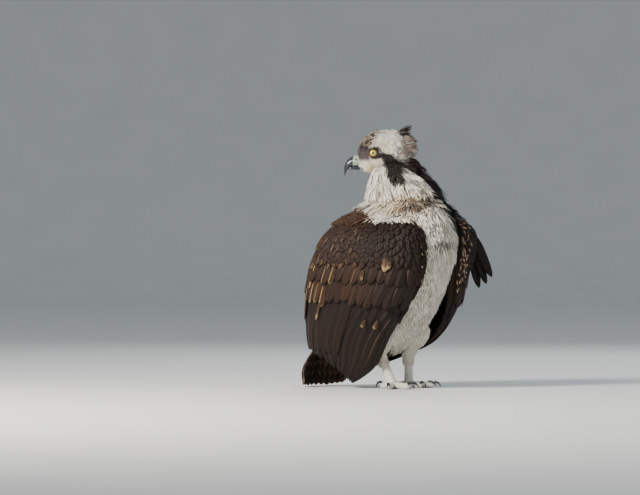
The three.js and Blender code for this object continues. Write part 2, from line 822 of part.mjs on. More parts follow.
function tarsusSolid(name, grow = 0) {
  const foot = FEET[name];
  const ankle = place(foot.x, foot.ankleS, foot.ankleZ + 4);
  const middle = place(foot.x, lerp(foot.ankleS, foot.s, 0.55), foot.ankleZ / 2);
  const base = place(foot.x, foot.s, 9);
  return limb([ankle, middle, base], TARSUS_RADII.map((radius) => radius + grow), 10, 4);
}

function toePath(name, toe) {
  const foot = FEET[name];
  const side = sideOf[name];
  const [outwards, length] = TOES[toe];
  const heading = radians(outwards + foot.toeOut) * side;
  const step = (reach, z) =>
    place(foot.x + Math.sin(heading) * reach, foot.s + Math.cos(heading) * reach, z);
  return { step, length };
}

function toeSolid(name, toe, grow = 0) {
  const { step, length } = toePath(name, toe);
  return limb(
    [step(2, 6.5), step(length * 0.35, 6.2), step(length * 0.7, 5), step(length, 4.8)],
    [TOE_RADIUS + 1.2 + grow, TOE_RADIUS + 0.3 + grow, TOE_RADIUS + 0.5 + grow, TOE_RADIUS - 0.4 + grow],
    8,
    4
  );
}

function clawSolid(name, toe) {
  const { step, length } = toePath(name, toe);
  const claw = TOES[toe][2];
  const radius = claw / 2.35;
  const points = [];
  const radii = [];
  for (let i = 0; i <= 5; i++) {
    const angle = radians(lerp(118, -8, i / 5));
    const reach = length + 1.5 + radius * 0.47 + radius * Math.cos(angle);
    points.push(step(reach, 1.1 + radius * 0.94 * Math.sin(angle)));
    radii.push(lerp(CLAW_RADIUS, 0.5, (i / 5) ** 1.3));
  }
  points[points.length - 1].z = 1.2;
  return limb(points, radii, 6, 4);
}

// Assembly
const floor = floorBox();
const torsoRoom = torsoSolid(GAP);
const skullRoom = skullSolid(GAP).add(napeSolid(GAP));
const billRoom = billSolid(UPPER_BILL, UPPER_BILL_TIP, GAP);
const lowerBillRoom = billSolid(LOWER_BILL, LOWER_BILL_TIP, GAP);
const ball = (centre, radius, sides) => ellipsoid(centre, radius, radius, radius, 0, sides);
// the socket's few faces keep the gap to the rounder eye at their middles too
const eyeRoom = (side) => ball(eyePlace(side), EYE.radius + 1.3, 8);
const parts = {};

parts.torso = torsoSolid();
parts.bill_upper = billSolid(UPPER_BILL, UPPER_BILL_TIP).subtract(nostrilSolid(1)).subtract(nostrilSolid(-1));
parts.bill_lower = billSolid(LOWER_BILL, LOWER_BILL_TIP).subtract(billRoom);
parts.eye_left = ball(eyePlace(1), EYE.radius, 10);
parts.eye_right = ball(eyePlace(-1), EYE.radius, 10);

let head = skullSolid();
for (const side of [1, -1]) {
  head = head
    .subtract(socketSolid(side))
    .add(browSolid(side))
    .add(lidRing(side))
    .subtract(eyeRoom(side))
    .subtract(mouthSolid(side));
}
const headFeathers = joined(headLocks());
parts.head = head.add(napeSolid()).add(headFeathers).subtract(billRoom).subtract(lowerBillRoom);
const wholeNeck = joined([neckSolid(), ...ruffSolids()]);
const headRoom = joined([skullRoom, ...headLocks(GAP)]);
parts.neck = wholeNeck.subtract(torsoRoom).subtract(headRoom);

const tailRoom = tailSheet(TAIL_ROOM.end, TAIL_ROOM.edge, TAIL_ROOM.rise);
parts.tail = joined([tailSheet(TAIL_CORE_END, TAIL_CORE_EDGE, -CORE_DEPTH), ...tailVanes()])
  .subtract(torsoRoom)
  .intersect(floor);
for (const name of ["right", "left"]) {
  const thighRoom = thighSolid(name, GAP);
  parts["thigh_" + name] = thighSolid(name).subtract(torsoRoom).subtract(tailRoom);
  parts["tarsus_" + name] = tarsusSolid(name).subtract(thighRoom).subtract(torsoRoom).intersect(floor);
  let taken = tarsusSolid(name, GAP);
  for (const toe of Object.keys(TOES)) {
    const room = toeSolid(name, toe, GAP);
    parts["toe_" + toe + "_" + name] = toeSolid(name, toe).subtract(taken).intersect(floor);
    parts["claw_" + toe + "_" + name] = clawSolid(name, toe).subtract(room).intersect(floor);
    taken = taken.add(room);
  }
  parts["wing_" + name] = wingSolid(sideOf[name])
    .subtract(torsoRoom)
    .subtract(tailRoom)
    .subtract(thighRoom)
    .intersect(floor);
}
for (const name of Object.keys(parts)) parts[name] = largest(parts[name]);

const FINISH = {
  torso: [0xe8e2d6, 0.95],
  neck: [0xe9e1d2, 0.95],
  head: [0xece6da, 0.95],
  thigh: [0xece7dc, 0.95],
  wing: [0x33241b, 0.8],
  tail: [0x4a382b, 0.8],
  bill: [0x23252a, 0.35],
  eye: [0xe2b21c, 0.1],
  tarsus: [0xc9ccc4, 0.6],
  toe: [0xc9ccc4, 0.6],
  claw: [0x17171a, 0.3],
};

function meshOf(name, solid, shift) {
  const made = solid.getMesh();
  const geometry = new THREE.BufferGeometry();
  const position = new Float32Array(made.numVert * 3);
  for (let i = 0; i < made.numVert; i++) {
    position.set(made.vertProperties.subarray(i * made.numProp, i * made.numProp + 3), i * 3);
  }
  geometry.setAttribute("position", new THREE.BufferAttribute(position, 3));
  geometry.setIndex(new THREE.BufferAttribute(made.triVerts, 1));
  geometry.computeVertexNormals();
  const [color, roughness] = FINISH[name.split("_")[0]];
  const mesh = new THREE.Mesh(
    geometry,
    new THREE.MeshStandardMaterial({ color, roughness, metalness: 0, flatShading: true })
  );
  mesh.name = name;
  mesh.position.copy(shift);
  return mesh;
}

// The origin is the middle of the footprint's box, on the floor
const box = new THREE.Box3();
for (const solid of Object.values(parts)) {
  const { min, max } = solid.boundingBox();
  box.expandByPoint(new THREE.Vector3(...min)).expandByPoint(new THREE.Vector3(...max));
}
const middle = box.getCenter(new THREE.Vector3());
const shift = new THREE.Vector3(-middle.x, -middle.y, 0);
const osprey = new THREE.Group();
osprey.name = "osprey";
for (const [name, solid] of Object.entries(parts)) osprey.add(meshOf(name, solid, shift));

export default osprey;
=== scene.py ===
"""A life-size osprey that stands on the floor and looks back over its right shoulder.

Sizes in the tables are millimetres. A place is written as x, s, z, where x is to the bird's
left, s is the reach forward of the feet and z is up, so that the world's Y is minus s.
Every feather is a thin closed vane of its own shape that lies along the sheet it grows from.
"""

import bpy
import math
import numpy as np
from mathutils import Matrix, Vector


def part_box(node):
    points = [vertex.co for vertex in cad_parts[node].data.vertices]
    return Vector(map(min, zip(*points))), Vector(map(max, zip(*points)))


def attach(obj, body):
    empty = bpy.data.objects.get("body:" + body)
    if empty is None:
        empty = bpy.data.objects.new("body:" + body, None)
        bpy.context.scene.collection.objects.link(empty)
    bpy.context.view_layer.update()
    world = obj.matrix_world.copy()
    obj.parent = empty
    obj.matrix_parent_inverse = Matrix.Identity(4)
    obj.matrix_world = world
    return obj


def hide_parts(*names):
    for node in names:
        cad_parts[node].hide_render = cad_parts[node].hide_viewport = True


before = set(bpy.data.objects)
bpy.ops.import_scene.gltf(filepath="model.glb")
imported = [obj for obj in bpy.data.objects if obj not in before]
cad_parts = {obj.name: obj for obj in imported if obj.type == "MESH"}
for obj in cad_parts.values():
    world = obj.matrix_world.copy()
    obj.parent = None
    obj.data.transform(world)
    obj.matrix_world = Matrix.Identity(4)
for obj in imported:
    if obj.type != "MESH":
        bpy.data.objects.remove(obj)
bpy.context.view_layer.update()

MM = 0.001

# Body from the neck down: height, front reach, back reach, half width, shift to the left
BODY_LEVELS = [
    [456, 0, -16, 9, -22],
    [446, 25, -26, 27, -22],
    [432, 47, -31, 40, -20],
    [412, 63, -34, 49.5, -17],
    [390, 77, -38, 56, -12],
    [368, 92, -48, 62, -6],
    [348, 107, -84, 79, -2],
    [325, 118, -106, 90, 0],
    [295, 124, -120, 94, 0],
    [255, 119, -128, 93, 0],
    [210, 104, -130, 88, 0],
    [160, 80, -128, 78, 0],
    [118, 52, -118, 66, 0],
    [90, 26, -98, 48, 0],
    [74, 4, -58, 28, 0],
    [66, -20, -28, 4, 0],
]
BODY_SQUARE = 2.2
BODY_COAT = 4.0  # from the solids' surface down to the skin
HEAD_COAT = 2.4
BODY_TUFTS = [  # region, from and to which height, distance apart, length, half width, tip's lift
    ["throat", 454, 425, 1.9, 13, 0.95, 1.6],
    ["throat", 425, 396, 2.05, 17, 1.0, 3.0],
    ["neck", 396, 368, 2.4, 20, 1.3, 4.2],
    ["neck", 368, 340, 2.75, 22, 1.6, 4.6],
    ["breast", 340, 250, 2.9, 24, 1.7, 4.4],
    ["belly", 250, 68, 3.3, 27, 2.0, 3.8],
]
HEAD_TUFTS = [  # region, from and to which share of the way back, then as above
    ["face", 0.0, 0.3, 1.15, 5.5, 0.5, 0.7],
    ["face", 0.3, 0.5, 1.45, 8.5, 0.68, 1.2],
    ["crown", 0.5, 0.97, 1.8, 14.0, 0.9, 2.2],
]

# The head has its own frame: f is forward along the bill, l to the bird's left, u is up
HEAD_CENTRE = (-25, 0, 474)
HEAD_TURN = math.radians(-135)
HEAD_SECTIONS = [  # f, middle, half height, half width
    [-46, -8, 3, 3],
    [-43, -7, 12, 11],
    [-36, -6, 23, 20],
    [-24, -2, 34, 28],
    [-8, 1, 38, 31],
    [10, 0, 39, 30.5],
    [29, -3.5, 39.5, 27],
    [42, -6.5, 36, 22.5],
    [51, -9, 30.5, 17.5],
    [58, -12.5, 21.5, 12.5],
    [61, -15, 13, 9],
    [62, -17, 5, 4],
]
HEAD_HALF_LENGTH = 55
EYE = {"f": 31, "l": 17.2, "u": -5, "radius": 8.8}
EYE_LENS = {"sunk": 0.3, "bulge": 0.5, "spread": 0.6}
EYE_BACK = 9.0  # what the ball's back holds instead of the distance from the eye's axis
LID = {"reach": 7.7, "above": 1.0, "corner": 0.4, "body": 1.05, "heavier": 0.6, "fold": 0.1}
SOCKET = {"depth": 5.2, "reach": 9.5, "stretch": 1.15}
BROW = {"f": 29, "u": 7, "slope": 0.12, "rise": 4.0, "along": 13, "across": 5}
CHEEK = {"f": 20, "u": -24, "rise": 1.6, "along": 14, "across": 10}
CREST = {"f": -29, "u": 11, "along": 17, "across": 16, "up": 21}
NAPE = {"f": -38, "u": -29, "along": 22, "across": 24, "up": 17}
CREST_LOCKS = [  # root f, l, u, tip f, l, u, half width
    [-22, -3, 32, -46, -4, 47, 5],
    [-24, 5, 31, -43, 8, 42, 5],
    [-20, -12, 29, -40, -17, 38, 5.5],
    [-22, 13, 28, -42, 18, 33, 5.5],
    [-32, -10, 23, -51, -13, 25, 6],
    [-33, 10, 22, -52, 13, 21, 6],
    [-40, -3, 18, -59, -5, 18, 6],
    [-39, 6, 15, -57, 9, 9, 6],
    [-40, -10, 9, -56, -15, 3, 6],
    [-42, 1, 7, -59, 2, 0, 6.5],
    [-41, 11, 3, -55, 16, -6, 6],
    [-41, -8, -3, -55, -12, -12, 6.5],
]
NAPE_LOCKS = [
    [-42, 0, -22, -75, -2, -40, 8],
    [-40, 12, -20, -66, 18, -38, 8],
    [-40, -12, -20, -66, -18, -40, 8],
    [-34, 18, -26, -56, 26, -46, 8],
    [-34, -18, -26, -56, -26, -48, 8],
    [-44, 6, -34, -70, 9, -54, 8],
]
HACKLES = [  # angle from the bird's left and height of the root, then the tip's x, s, z
    [50, 440, 41, 52, 418],
    [36, 428, 62, 60, 394],
    [64, 424, 47, 75, 391],
    [26, 410, 71, 52, 373],
    [50, 408, 63, 73, 375],
    [72, 400, 46, 88, 364],
    [36, 390, 77, 65, 357],
    [60, 386, 67, 84, 350],
    [27, 370, 91, 64, 346],
    [50, 366, 84, 88, 344],
]
# The bill's ridge and its cutting edge in the head's middle plane, and half widths
UPPER_BILL = [  # place along, ridge f, ridge u, edge f, edge u, half width
    [0, 48, -8, 48, -29, 11.2],
    [0.16, 58, -9.6, 57, -30, 10.8],
    [0.3, 66.5, -10, 64, -31, 9.8],
    [0.44, 75, -13, 71, -32, 8.3],
    [0.58, 82, -19.3, 77, -34.5, 6.4],
    [0.72, 86.6, -28, 81.6, -38.8, 4.5],
    [0.87, 88.3, -38.5, 84.4, -44, 2.6],
    [1, 86.9, -52, 86.3, -52, 0.3],
]
LOWER_BILL = [
    [0, 47, -30, 47, -38, 9.8],
    [0.35, 59, -30.8, 59, -38.6, 8.6],
    [0.65, 69, -31.4, 69, -38.2, 7],
    [0.88, 78, -33, 77, -38, 4.2],
    [1, 81.6, -35.6, 81.4, -36.4, 0.6],
]
BILL_SQUARE = 2.25
CERE_END = 0.4
NOSTRIL = {"f": 64, "u": -18, "length": 3.4, "height": 1.5, "depth": 2.2}

# A wing hangs like a cloak round the flank: place along it, front edge s, z, x,
# rear edge s, z, x, widest x
WING_LEVELS = {
    "right": [
        [-0.1, 74, 346, 40, -64, 350, 14, 70],
        [0.0, 96, 330, 58, -98, 330, 14, 108],
        [0.12, 115, 296, 54, -130, 294, 8, 136],
        [0.3, 116, 226, 60, -160, 224, 5, 146],
        [0.47, 82, 158, 69, -173, 152, 4, 134],
        [0.62, 40, 100, 74, -177, 90, 6, 114],
        [0.8, -4, 46, 64, -160, 50, 30, 88],
        [1.0, -68, 6, 54, -128, 10, 40, 62],
    ],
    "left": [
        [-0.1, 76, 352, 42, -64, 350, 14, 76],
        [0.0, 100, 336, 60, -96, 330, 14, 122],
        [0.12, 120, 300, 58, -128, 294, 8, 160],
        [0.3, 108, 226, 58, -156, 224, 5, 150],
        [0.47, 93, 160, 62, -172, 152, 4, 128],
        [0.62, 46, 98, 66, -177, 90, 6, 104],
        [0.8, -34, 62, 62, -158, 60, 30, 84],
        [1.0, -98, 40, 52, -140, 34, 40, 60],
    ],
}
WING_TOP = -0.1  # the place along of the first level
WING_SQUARE = 2.7
WING_SIDE = {"right": -1, "left": 1}
WING_CORE = [  # place along, depth under the feathers' sheet, thickness
    [-0.1, 2.4, 38],
    [0, 2.4, 36],
    [0.12, 2.4, 28],
    [0.3, 2.4, 20],
    [0.45, 2.8, 11],
    [0.6, 4.2, 5],
    [0.75, 5.4, 1.6],
]
# Rows of vanes: count, girth places of first and last roots and tips, place of the roots,
# places of the first, middle and last tips, half width, height of the tips
WING_ROWS = [
    ["primary", 10, 0.03, 0.40, 0.04, 0.62, 0.34, 0.985, 0.93, 0.76, 15, -1.6],
    ["secondary", 13, 0.36, 0.97, 0.42, 0.96, 0.34, 0.72, 0.67, 0.64, 19, 0.6],
    ["greater", 15, 0.04, 0.72, 0.04, 0.74, 0.24, 0.47, 0.44, 0.42, 14, 3.0],
    ["tertial", 5, 0.74, 0.97, 0.73, 0.95, 0.22, 0.5, 0.54, 0.57, 17, 3.6],
    ["median", 16, 0.03, 0.72, 0.03, 0.74, 0.17, 0.36, 0.34, 0.33, 13, 3.6],
    ["scapular", 7, 0.66, 0.98, 0.66, 0.96, 0.1, 0.36, 0.4, 0.43, 14, 4.4],
    ["median", 17, 0.03, 0.7, 0.03, 0.72, 0.11, 0.28, 0.26, 0.25, 12, 4.0],
    ["scapular", 8, 0.62, 0.98, 0.62, 0.96, 0.03, 0.26, 0.28, 0.3, 13, 4.8],
    ["scapular", 8, 0.64, 0.98, 0.64, 0.96, -0.04, 0.16, 0.18, 0.2, 12, 5.0],
]
LESSER_ROWS = {"first": -0.045, "end": 0.15, "apart": 0.02, "count": 26, "half": 8.5, "height": 4.6}
BUFF_FEATHERS = [  # on the right wing: place across the view, height of the root, length, half width
    [-20, 272, 38, 7.5],
    [-12, 262, 24, 4.5],
    [-62, 138, 16, 3.6],
    [-38, 138, 18, 4.0],
    [-150, 176, 42, 3.4],
    [-64, 242, 26, 3.2],
]
WRIST_LOCKS = [  # root x, s, z and tip x, s, z of the left wing's loose vanes
    [126, 104, 300, 153, 124, 222],
    [128, 98, 292, 148, 114, 208],
    [126, 92, 284, 140, 102, 200],
]

TAIL_LEVELS = [  # place along, height, back reach, wrap, half width, shift to the left
    [0, 190, -108, 10, 32, -2],
    [0.3, 128, -142, 15, 42, -4],
    [0.48, 92, -164, 20, 50, -8],
    [0.6, 68, -184, 26, 58, -11],
    [0.8, 34, -200, 32, 66, -14],
    [1, 0.5, -199, 34, 63, -16],
]
TAIL_WRAP = math.radians(75)
TAIL_EDGE = 1.12  # how far the sheet of its feathers goes round, in wraps
TAIL_CORE = {"edge": 0.94, "rows": 31, "outer": 2.4, "inner": 10.5}
TAIL_COUNT = 12

FEET = {
    "right": {"side": -1, "x": -37, "s": 20, "ankle_s": -12, "ankle_z": 76, "out": 12},
    "left": {"side": 1, "x": 37, "s": 3, "ankle_s": 2, "ankle_z": 74, "out": 16},
}
THIGH_TOP = (42, 24, 132)
TOES = {"inner": (-30, 38, 27), "middle": (0, 50, 28), "outer": (48, 42, 26), "hind": (178, 30, 28)}
TOE_PROFILE = [  # place along, height, radius
    [0, 6.6, 7.2],
    [0.35, 6.3, 6.3],
    [0.7, 5.2, 6.4],
    [1, 5.0, 5.7],
]
TOE_JOINTS = [[0.36, 0.1, 1.0], [0.72, 0.1, 1.0], [0.98, 0.06, 0.7]]  # place, width, share
CLAW_RADIUS = 3.4
CLAW_TIP = 0.35
FLOOR_GAP = 0.15
FOOT_SIDES = 28

# Photo's view: the camera stands this far round to the bird's right of its front
VIEW_TURN = math.radians(-50)
VIEW_RIGHT = (0.643, 0.766)  # the picture's way to the right: its shares of x and of s
VIEW_AIM = (-152, 281)  # the picture's middle: across the view, height
VIEW_DISTANCE = 8.0
VIEW_LENS = 225.0
VIEW_SENSOR = 36.0

# The floor's bowl, in metres: how far it is level, its bend's radius and its rim's height
BOWL_LEVEL = 12
BOWL_BEND = 4
BOWL_RIM = 4.6
ROOM_LIGHT = 0.75
LAMPS = [  # name, turn from the camera's side, height, distance, size, watts, colour
    ["key", -46, 1.7, 2.6, 0.7, 190, (1.0, 0.95, 0.88)],
    ["fill", 48, 1.3, 3.0, 2.2, 24, (0.9, 0.95, 1.0)],
    ["rim", 165, 2.0, 2.6, 1.4, 30, (0.95, 0.97, 1.0)],
]
AIM_HEIGHT = 0.28

# Baking's map: the size of a vane in it, and the height that the skin's part stands for
MAP_VANE = 0.0015
MAP_HEIGHT = 540

def linear(text):
    """The linear colour of a six-digit sRGB one: the standard curve, undone."""
    value = np.array([int(text[i : i + 2], 16) for i in (0, 2, 4)]) / 255
    return np.where(value < 0.04045, value / 12.92, ((value + 0.055) / 1.055) ** 2.4)


WHITE = linear("efe9dd")
CREAM = linear("e6dbc2")
SHADE_WHITE = linear("d9d3c6")
BUFF = linear("c9a67c")
CHOCOLATE = linear("281810")
DARK = linear("170e09")
BLACK_BROWN = linear("160e0b")
MANTLE = linear("3d281a")
RUST = linear("553620")
GREY_BROWN = linear("8d7868")
ASH = linear("a79c92")
LORES = linear("4d4a52")


def place(x, s, z):
    """Points in millimetres with Y as minus the reach forward."""
    return np.stack(np.broadcast_arrays(x, -np.asarray(s, float), z), axis=-1).astype(float)


def unit(vectors):
    """Vectors divided by their lengths."""
    return vectors / np.maximum(np.linalg.norm(vectors, axis=-1, keepdims=True), 1e-9)


def circle(sides):
    """Angles of points set evenly round a circle."""
    return np.linspace(0, 2 * math.pi, sides, endpoint=False)


def pick(keep, *lists):
    """The kept rows of each list."""
    return [rows[keep] for rows in lists]


def power(value, square):
    """The value's size to the power of 2 / square, with its sign."""
    return np.sign(value) * np.abs(value) ** (2 / square)


def step(low, high, value):
    """0 below low, 1 above high and a smooth S between them."""
    k = np.clip((value - low) / (high - low), 0, 1)
    return k * k * (3 - 2 * k)


def hill(value, middle, width):
    """A bell that is 1 at its middle: e to minus the square of the distance over the width."""
    return np.exp(-(((value - middle) / width) ** 2))


def blend(a, b, share):
    """Straight mix of two colours or lists of them by a share for each row."""
    share = np.asarray(share)[..., None]
    return a * (1 - share) + b * share


def smooth_row(rows, t):
    """Values at t by cubic pieces through the rows, each with the slope of its neighbours."""
    rows = np.asarray(rows, float)
    t = np.asarray(t, float)
    key, value = rows[:, 0], rows[:, 1:]
    last = len(key) - 1
    i = np.clip(np.searchsorted(key, t) - 1, 0, last - 1)
    before, after = np.maximum(i - 1, 0), np.minimum(i + 2, last)
    gap = key[i + 1] - key[i]
    p = np.clip((t - key[i]) / gap, 0, 1)[..., None]
    slope_a = (value[i + 1] - value[before]) * (gap / (key[i + 1] - key[before]))[..., None]
    slope_b = (value[after] - value[i]) * (gap / (key[after] - key[i]))[..., None]
    p2, p3 = p * p, p * p * p
    return (
        (2 * p3 - 3 * p2 + 1) * value[i]
        + (p3 - 2 * p2 + p) * slope_a
        + (3 * p2 - 2 * p3) * value[i + 1]
        + (p3 - p2) * slope_b
    )


HEAD_ORIGIN = place(*HEAD_CENTRE)
HEAD_FORWARD = np.array([math.sin(HEAD_TURN), -math.cos(HEAD_TURN), 0])
HEAD_LEFT = np.array([math.cos(HEAD_TURN), math.sin(HEAD_TURN), 0])
UP = np.array([0, 0, 1.0])


def on_head(f, l, u):
    """Points of the head's frame: its centre plus f, l and u along the three headings."""
    f, l, u = (np.asarray(value, float)[..., None] for value in (f, l, u))
    return HEAD_ORIGIN + f * HEAD_FORWARD + l * HEAD_LEFT + u * UP


def head_frame(points):
    """The f, l and u of points: their offsets from the centre along the three headings."""
    offset = points - HEAD_ORIGIN
    return offset @ HEAD_FORWARD, offset @ HEAD_LEFT, offset[..., 2]


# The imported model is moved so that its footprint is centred: its left eye tells by how much
eye_low, eye_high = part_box("eye_left")
EYE_RAW = on_head(EYE["f"], EYE["l"], EYE["u"])
SHIFT = np.array((eye_low + eye_high) / 2) - EYE_RAW * MM
SHIFT[2] = 0


class Sheet:
    """A surface known at a grid of points, read between them in straight steps.

    Its places are shares from 0 to 1 down (u) and across or around (v).
    """

    def __init__(self, points, middle, closed=True, inward=False):
        down = np.gradient(points, axis=0) * (points.shape[0] - 1)
        if closed:
            padded = np.concatenate([points[:, -2:-1], points, points[:, 1:2]], axis=1)
            across = (padded[:, 2:] - padded[:, :-2]) / 2 * (points.shape[1] - 1)
        else:
            across = np.gradient(points, axis=1) * (points.shape[1] - 1)
        normal = unit(np.cross(across, down))
        side = np.sign(np.sum(normal * (points - middle), axis=-1, keepdims=True))
        if inward:
            side = -side
        reach_down = np.linalg.norm(down, axis=-1, keepdims=True)
        reach_across = np.linalg.norm(across, axis=-1, keepdims=True)
        self.table = np.concatenate([points, normal * side, reach_down, reach_across], axis=-1)
        self.closed = closed

    def read(self, u, v):
        """The table's row at places: straight steps between the four points round each."""
        rows, columns = self.table.shape[0] - 1, self.table.shape[1] - 1
        v = np.mod(v, 1) if self.closed else np.clip(v, 0, 1)
        a = np.clip(u, 0, 1) * rows
        b = v * columns
        i = np.minimum(a.astype(int), rows - 1)
        j = np.minimum(b.astype(int), columns - 1)
        p, q = (a - i)[..., None], (b - j)[..., None]
        top = self.table[i, j] * (1 - q) + self.table[i, j + 1] * q
        low = self.table[i + 1, j] * (1 - q) + self.table[i + 1, j + 1] * q
        return top * (1 - p) + low * p

    def at(self, u, v):
        """Points and outward headings at places."""
        row = self.read(u, v)
        return row[..., :3], unit(row[..., 3:6])

    def ahead(self, u, v, length, turn):
        """Where a length in millimetres leads, at an angle from straight down the sheet."""
        row = self.read(u, v)
        return (
            u + length * np.cos(turn) / np.maximum(row[..., 6], 1),
            v + length * np.sin(turn) / np.maximum(row[..., 7], 1),
        )

    def scattered(self, apart, random, low=0.0, high=1.0):
        """Rows of places set the given distance apart, every other row shifted by half.

        Each place strays by a random share of the distance, and rows are a little closer.
        """
        stray, row_share = 0.32, 0.86
        us, vs = [], []
        u, row = low, 0
        while u < high:
            here = self.table[int(u * (self.table.shape[0] - 1))]
            girth = here[:, 7].mean()
            count = max(3, int(girth / apart))
            jitter = random.uniform(-stray, stray, (2, count))
            pace = apart * row_share / here[:, 6].mean()
            vs.append((np.arange(count) + 0.5 * (row % 2) + jitter[0] + 0.25) / count)
            us.append(u + pace * jitter[1])
            u += pace
            row += 1
        return np.concatenate(us), np.concatenate(vs)


def ring(z, front, back, half, shift, square, angle, grow=0.0):
    """A level's closed line: a squared ellipse between its front and back reach."""
    depth = (front - back) / 2 + grow
    across = (half + grow) * power(np.cos(angle), square)
    return place(shift + across, (front + back) / 2 + depth * power(np.sin(angle), square), z)


def body_points(grow=0.0, rows=200, columns=145):
    """The body's levels, read evenly along their profile, each as a ring."""
    levels = np.array(BODY_LEVELS, float)
    change = np.diff(levels, axis=0)
    pace = np.hypot(change[:, 0], (change[:, 1] - change[:, 2]) / 4 + change[:, 3] / 2)
    along = np.concatenate([[0], np.cumsum(pace)])
    row = smooth_row(np.column_stack([along, levels]), np.linspace(0, along[-1], rows))
    angle = np.linspace(0, 2 * math.pi, columns)
    z, front, back, half, shift = (row[:, i, None] for i in range(5))
    return ring(z, front, back, np.maximum(half, 1 - grow), shift, BODY_SQUARE, angle, grow)


def head_points(grow=0.0, rows=90, columns=121):
    """The head's sections from the bill backwards, with hollows, brows and cheeks.

    Each section is an ellipse. A hollow round the eye falls off with the fourth power of the
    distance, and the brow and the cheek are bells, all added outwards on both sides.
    """
    place_along = np.linspace(0, 1, rows)
    rear, front = HEAD_SECTIONS[0][0], HEAD_SECTIONS[-1][0]
    f = front + (rear - front) * (1 - np.cos(math.pi * place_along)) / 2
    middle, half_height, half_width = smooth_row(HEAD_SECTIONS, f).T[:, :, None]
    angle = np.linspace(0, 2 * math.pi, columns)
    f = f[:, None] * (1 + grow / HEAD_HALF_LENGTH)
    l = np.maximum(half_width + grow, 0.5) * np.cos(angle)
    u = middle + np.maximum(half_height + grow, 0.5) * np.sin(angle)
    reach = np.hypot((f - EYE["f"]) / SOCKET["stretch"], u - EYE["u"])
    sunk = -SOCKET["depth"] * np.exp(-((reach / SOCKET["reach"]) ** 4))
    brow_line = BROW["u"] + (f - BROW["f"]) * BROW["slope"]
    brow = BROW["rise"] * hill(f, BROW["f"], BROW["along"]) * hill(u, brow_line, BROW["across"])
    cheek = CHEEK["rise"] * hill(f, CHEEK["f"], CHEEK["along"]) * hill(u, CHEEK["u"], CHEEK["across"])
    side = np.sign(l) * step(4, 14, np.abs(l))
    return on_head(f + 0 * l, l + side * (sunk + brow + cheek), u)


def mass_points(form, grow=0.0, rows=40, columns=61):
    """An egg behind the head: three half axes in the head's frame, pole forward."""
    polar = np.linspace(0.001, math.pi - 0.001, rows)[:, None]
    angle = np.linspace(0, 2 * math.pi, columns)[None, :]
    f = form["f"] + (form["along"] + grow) * np.cos(polar) + 0 * angle
    l = (form["across"] + grow) * np.sin(polar) * np.cos(angle)
    u = form["u"] + (form["up"] + grow) * np.sin(polar) * np.sin(angle)
    return on_head(f, l, u)


def wing_points(name, rows=221, columns=121):
    """A wing's outer sheet and the middle of each of its levels.

    Each level runs from its front edge round the flank to its rear edge as a squared half
    ellipse, evenly spaced along its own line.
    """
    side = WING_SIDE[name]
    t = np.linspace(WING_TOP, 1, rows)
    row = smooth_row(WING_LEVELS[name], t).T[:, :, None]
    front_s, front_z, front_x, rear_s, rear_z, rear_x, widest = row
    angle = np.linspace(0, math.pi, 241)[None, :]
    along = (1 - power(np.cos(angle), WING_SQUARE)) / 2
    bulge = power(np.abs(np.sin(angle)), WING_SQUARE)
    inner = front_x + (rear_x - front_x) * along
    line = place(
        side * (inner + (widest - inner) * bulge),
        front_s + (rear_s - front_s) * along,
        front_z + (rear_z - front_z) * along,
    )
    length = np.linalg.norm(np.diff(line, axis=1), axis=-1)
    reach = np.concatenate([np.zeros((rows, 1)), np.cumsum(length, axis=1)], axis=1)
    even = np.linspace(0, 1, columns)
    points = np.empty((rows, columns, 3))
    for i in range(rows):
        for axis in range(3):
            points[i, :, axis] = np.interp(even * reach[i, -1], reach[i], line[i, :, axis])
    middle = place(side * (front_x + rear_x) / 2, (front_s + rear_s) / 2, (front_z + rear_z) / 2)
    return points, middle


def wing_shell(name, first, last):
    """The outer and inner sides of a wing under its feathers, and its levels' middles.

    Both are the wing's sheet moved towards its middles: by the core's depth, and by that
    depth plus the core's thickness.
    """
    levels = 121
    points, middle = (part[first:last] for part in wing_points(name, levels, 61))
    t = np.linspace(WING_TOP, 1, levels)[first:last]
    deep, thick = smooth_row(WING_CORE, t).T[:, :, None, None]
    inwards = unit(middle - points)
    return points + inwards * deep, points + inwards * (deep + thick), middle


def tail_points(rows=60, columns=61, edge=TAIL_EDGE):
    """The tail's back: each level an arc that wraps forward at its edges."""
    t = np.linspace(0, 1, rows)
    z, back, wrap, half, shift = smooth_row(TAIL_LEVELS, t).T[:, :, None]
    angle = TAIL_WRAP * np.linspace(-edge, edge, columns)[None, :]
    points = place(shift + half * np.sin(angle), back + wrap * (1 - np.cos(angle)), z)
    return points, place(shift, back + 3 * wrap + 20, z) + 0 * points


def tube_points(path, radii, sides, flat=1.0):
    """Rings round a path: across it and above it, the second flattened.

    The way across starts level, or along x where the path is steep, and each later one is
    the one before it made square to the path again, so that the tube doesn't twist.
    """
    along = unit(np.gradient(path, axis=0))
    side = unit(np.cross(along, np.array([0.02, 0.03, 1.0]) + 0 * along))
    steep = np.abs(along[:, 2:]) > 0.9
    side = np.where(steep, unit(np.cross(along, np.array([0, -1.0, 0.05]) + 0 * along)), side)
    for i in range(1, len(side)):
        side[i] = unit(side[i - 1] - along[i] * np.dot(side[i - 1], along[i]))
    over = np.cross(side, along)
    angle = circle(sides)
    radii = np.asarray(radii, float)
    if radii.ndim == 1:
        radii = radii[:, None]
    wide = radii * np.cos(angle)
    high = radii * flat * np.sin(angle)
    return path[:, None] + wide[..., None] * side[:, None] + high[..., None] * over[:, None]


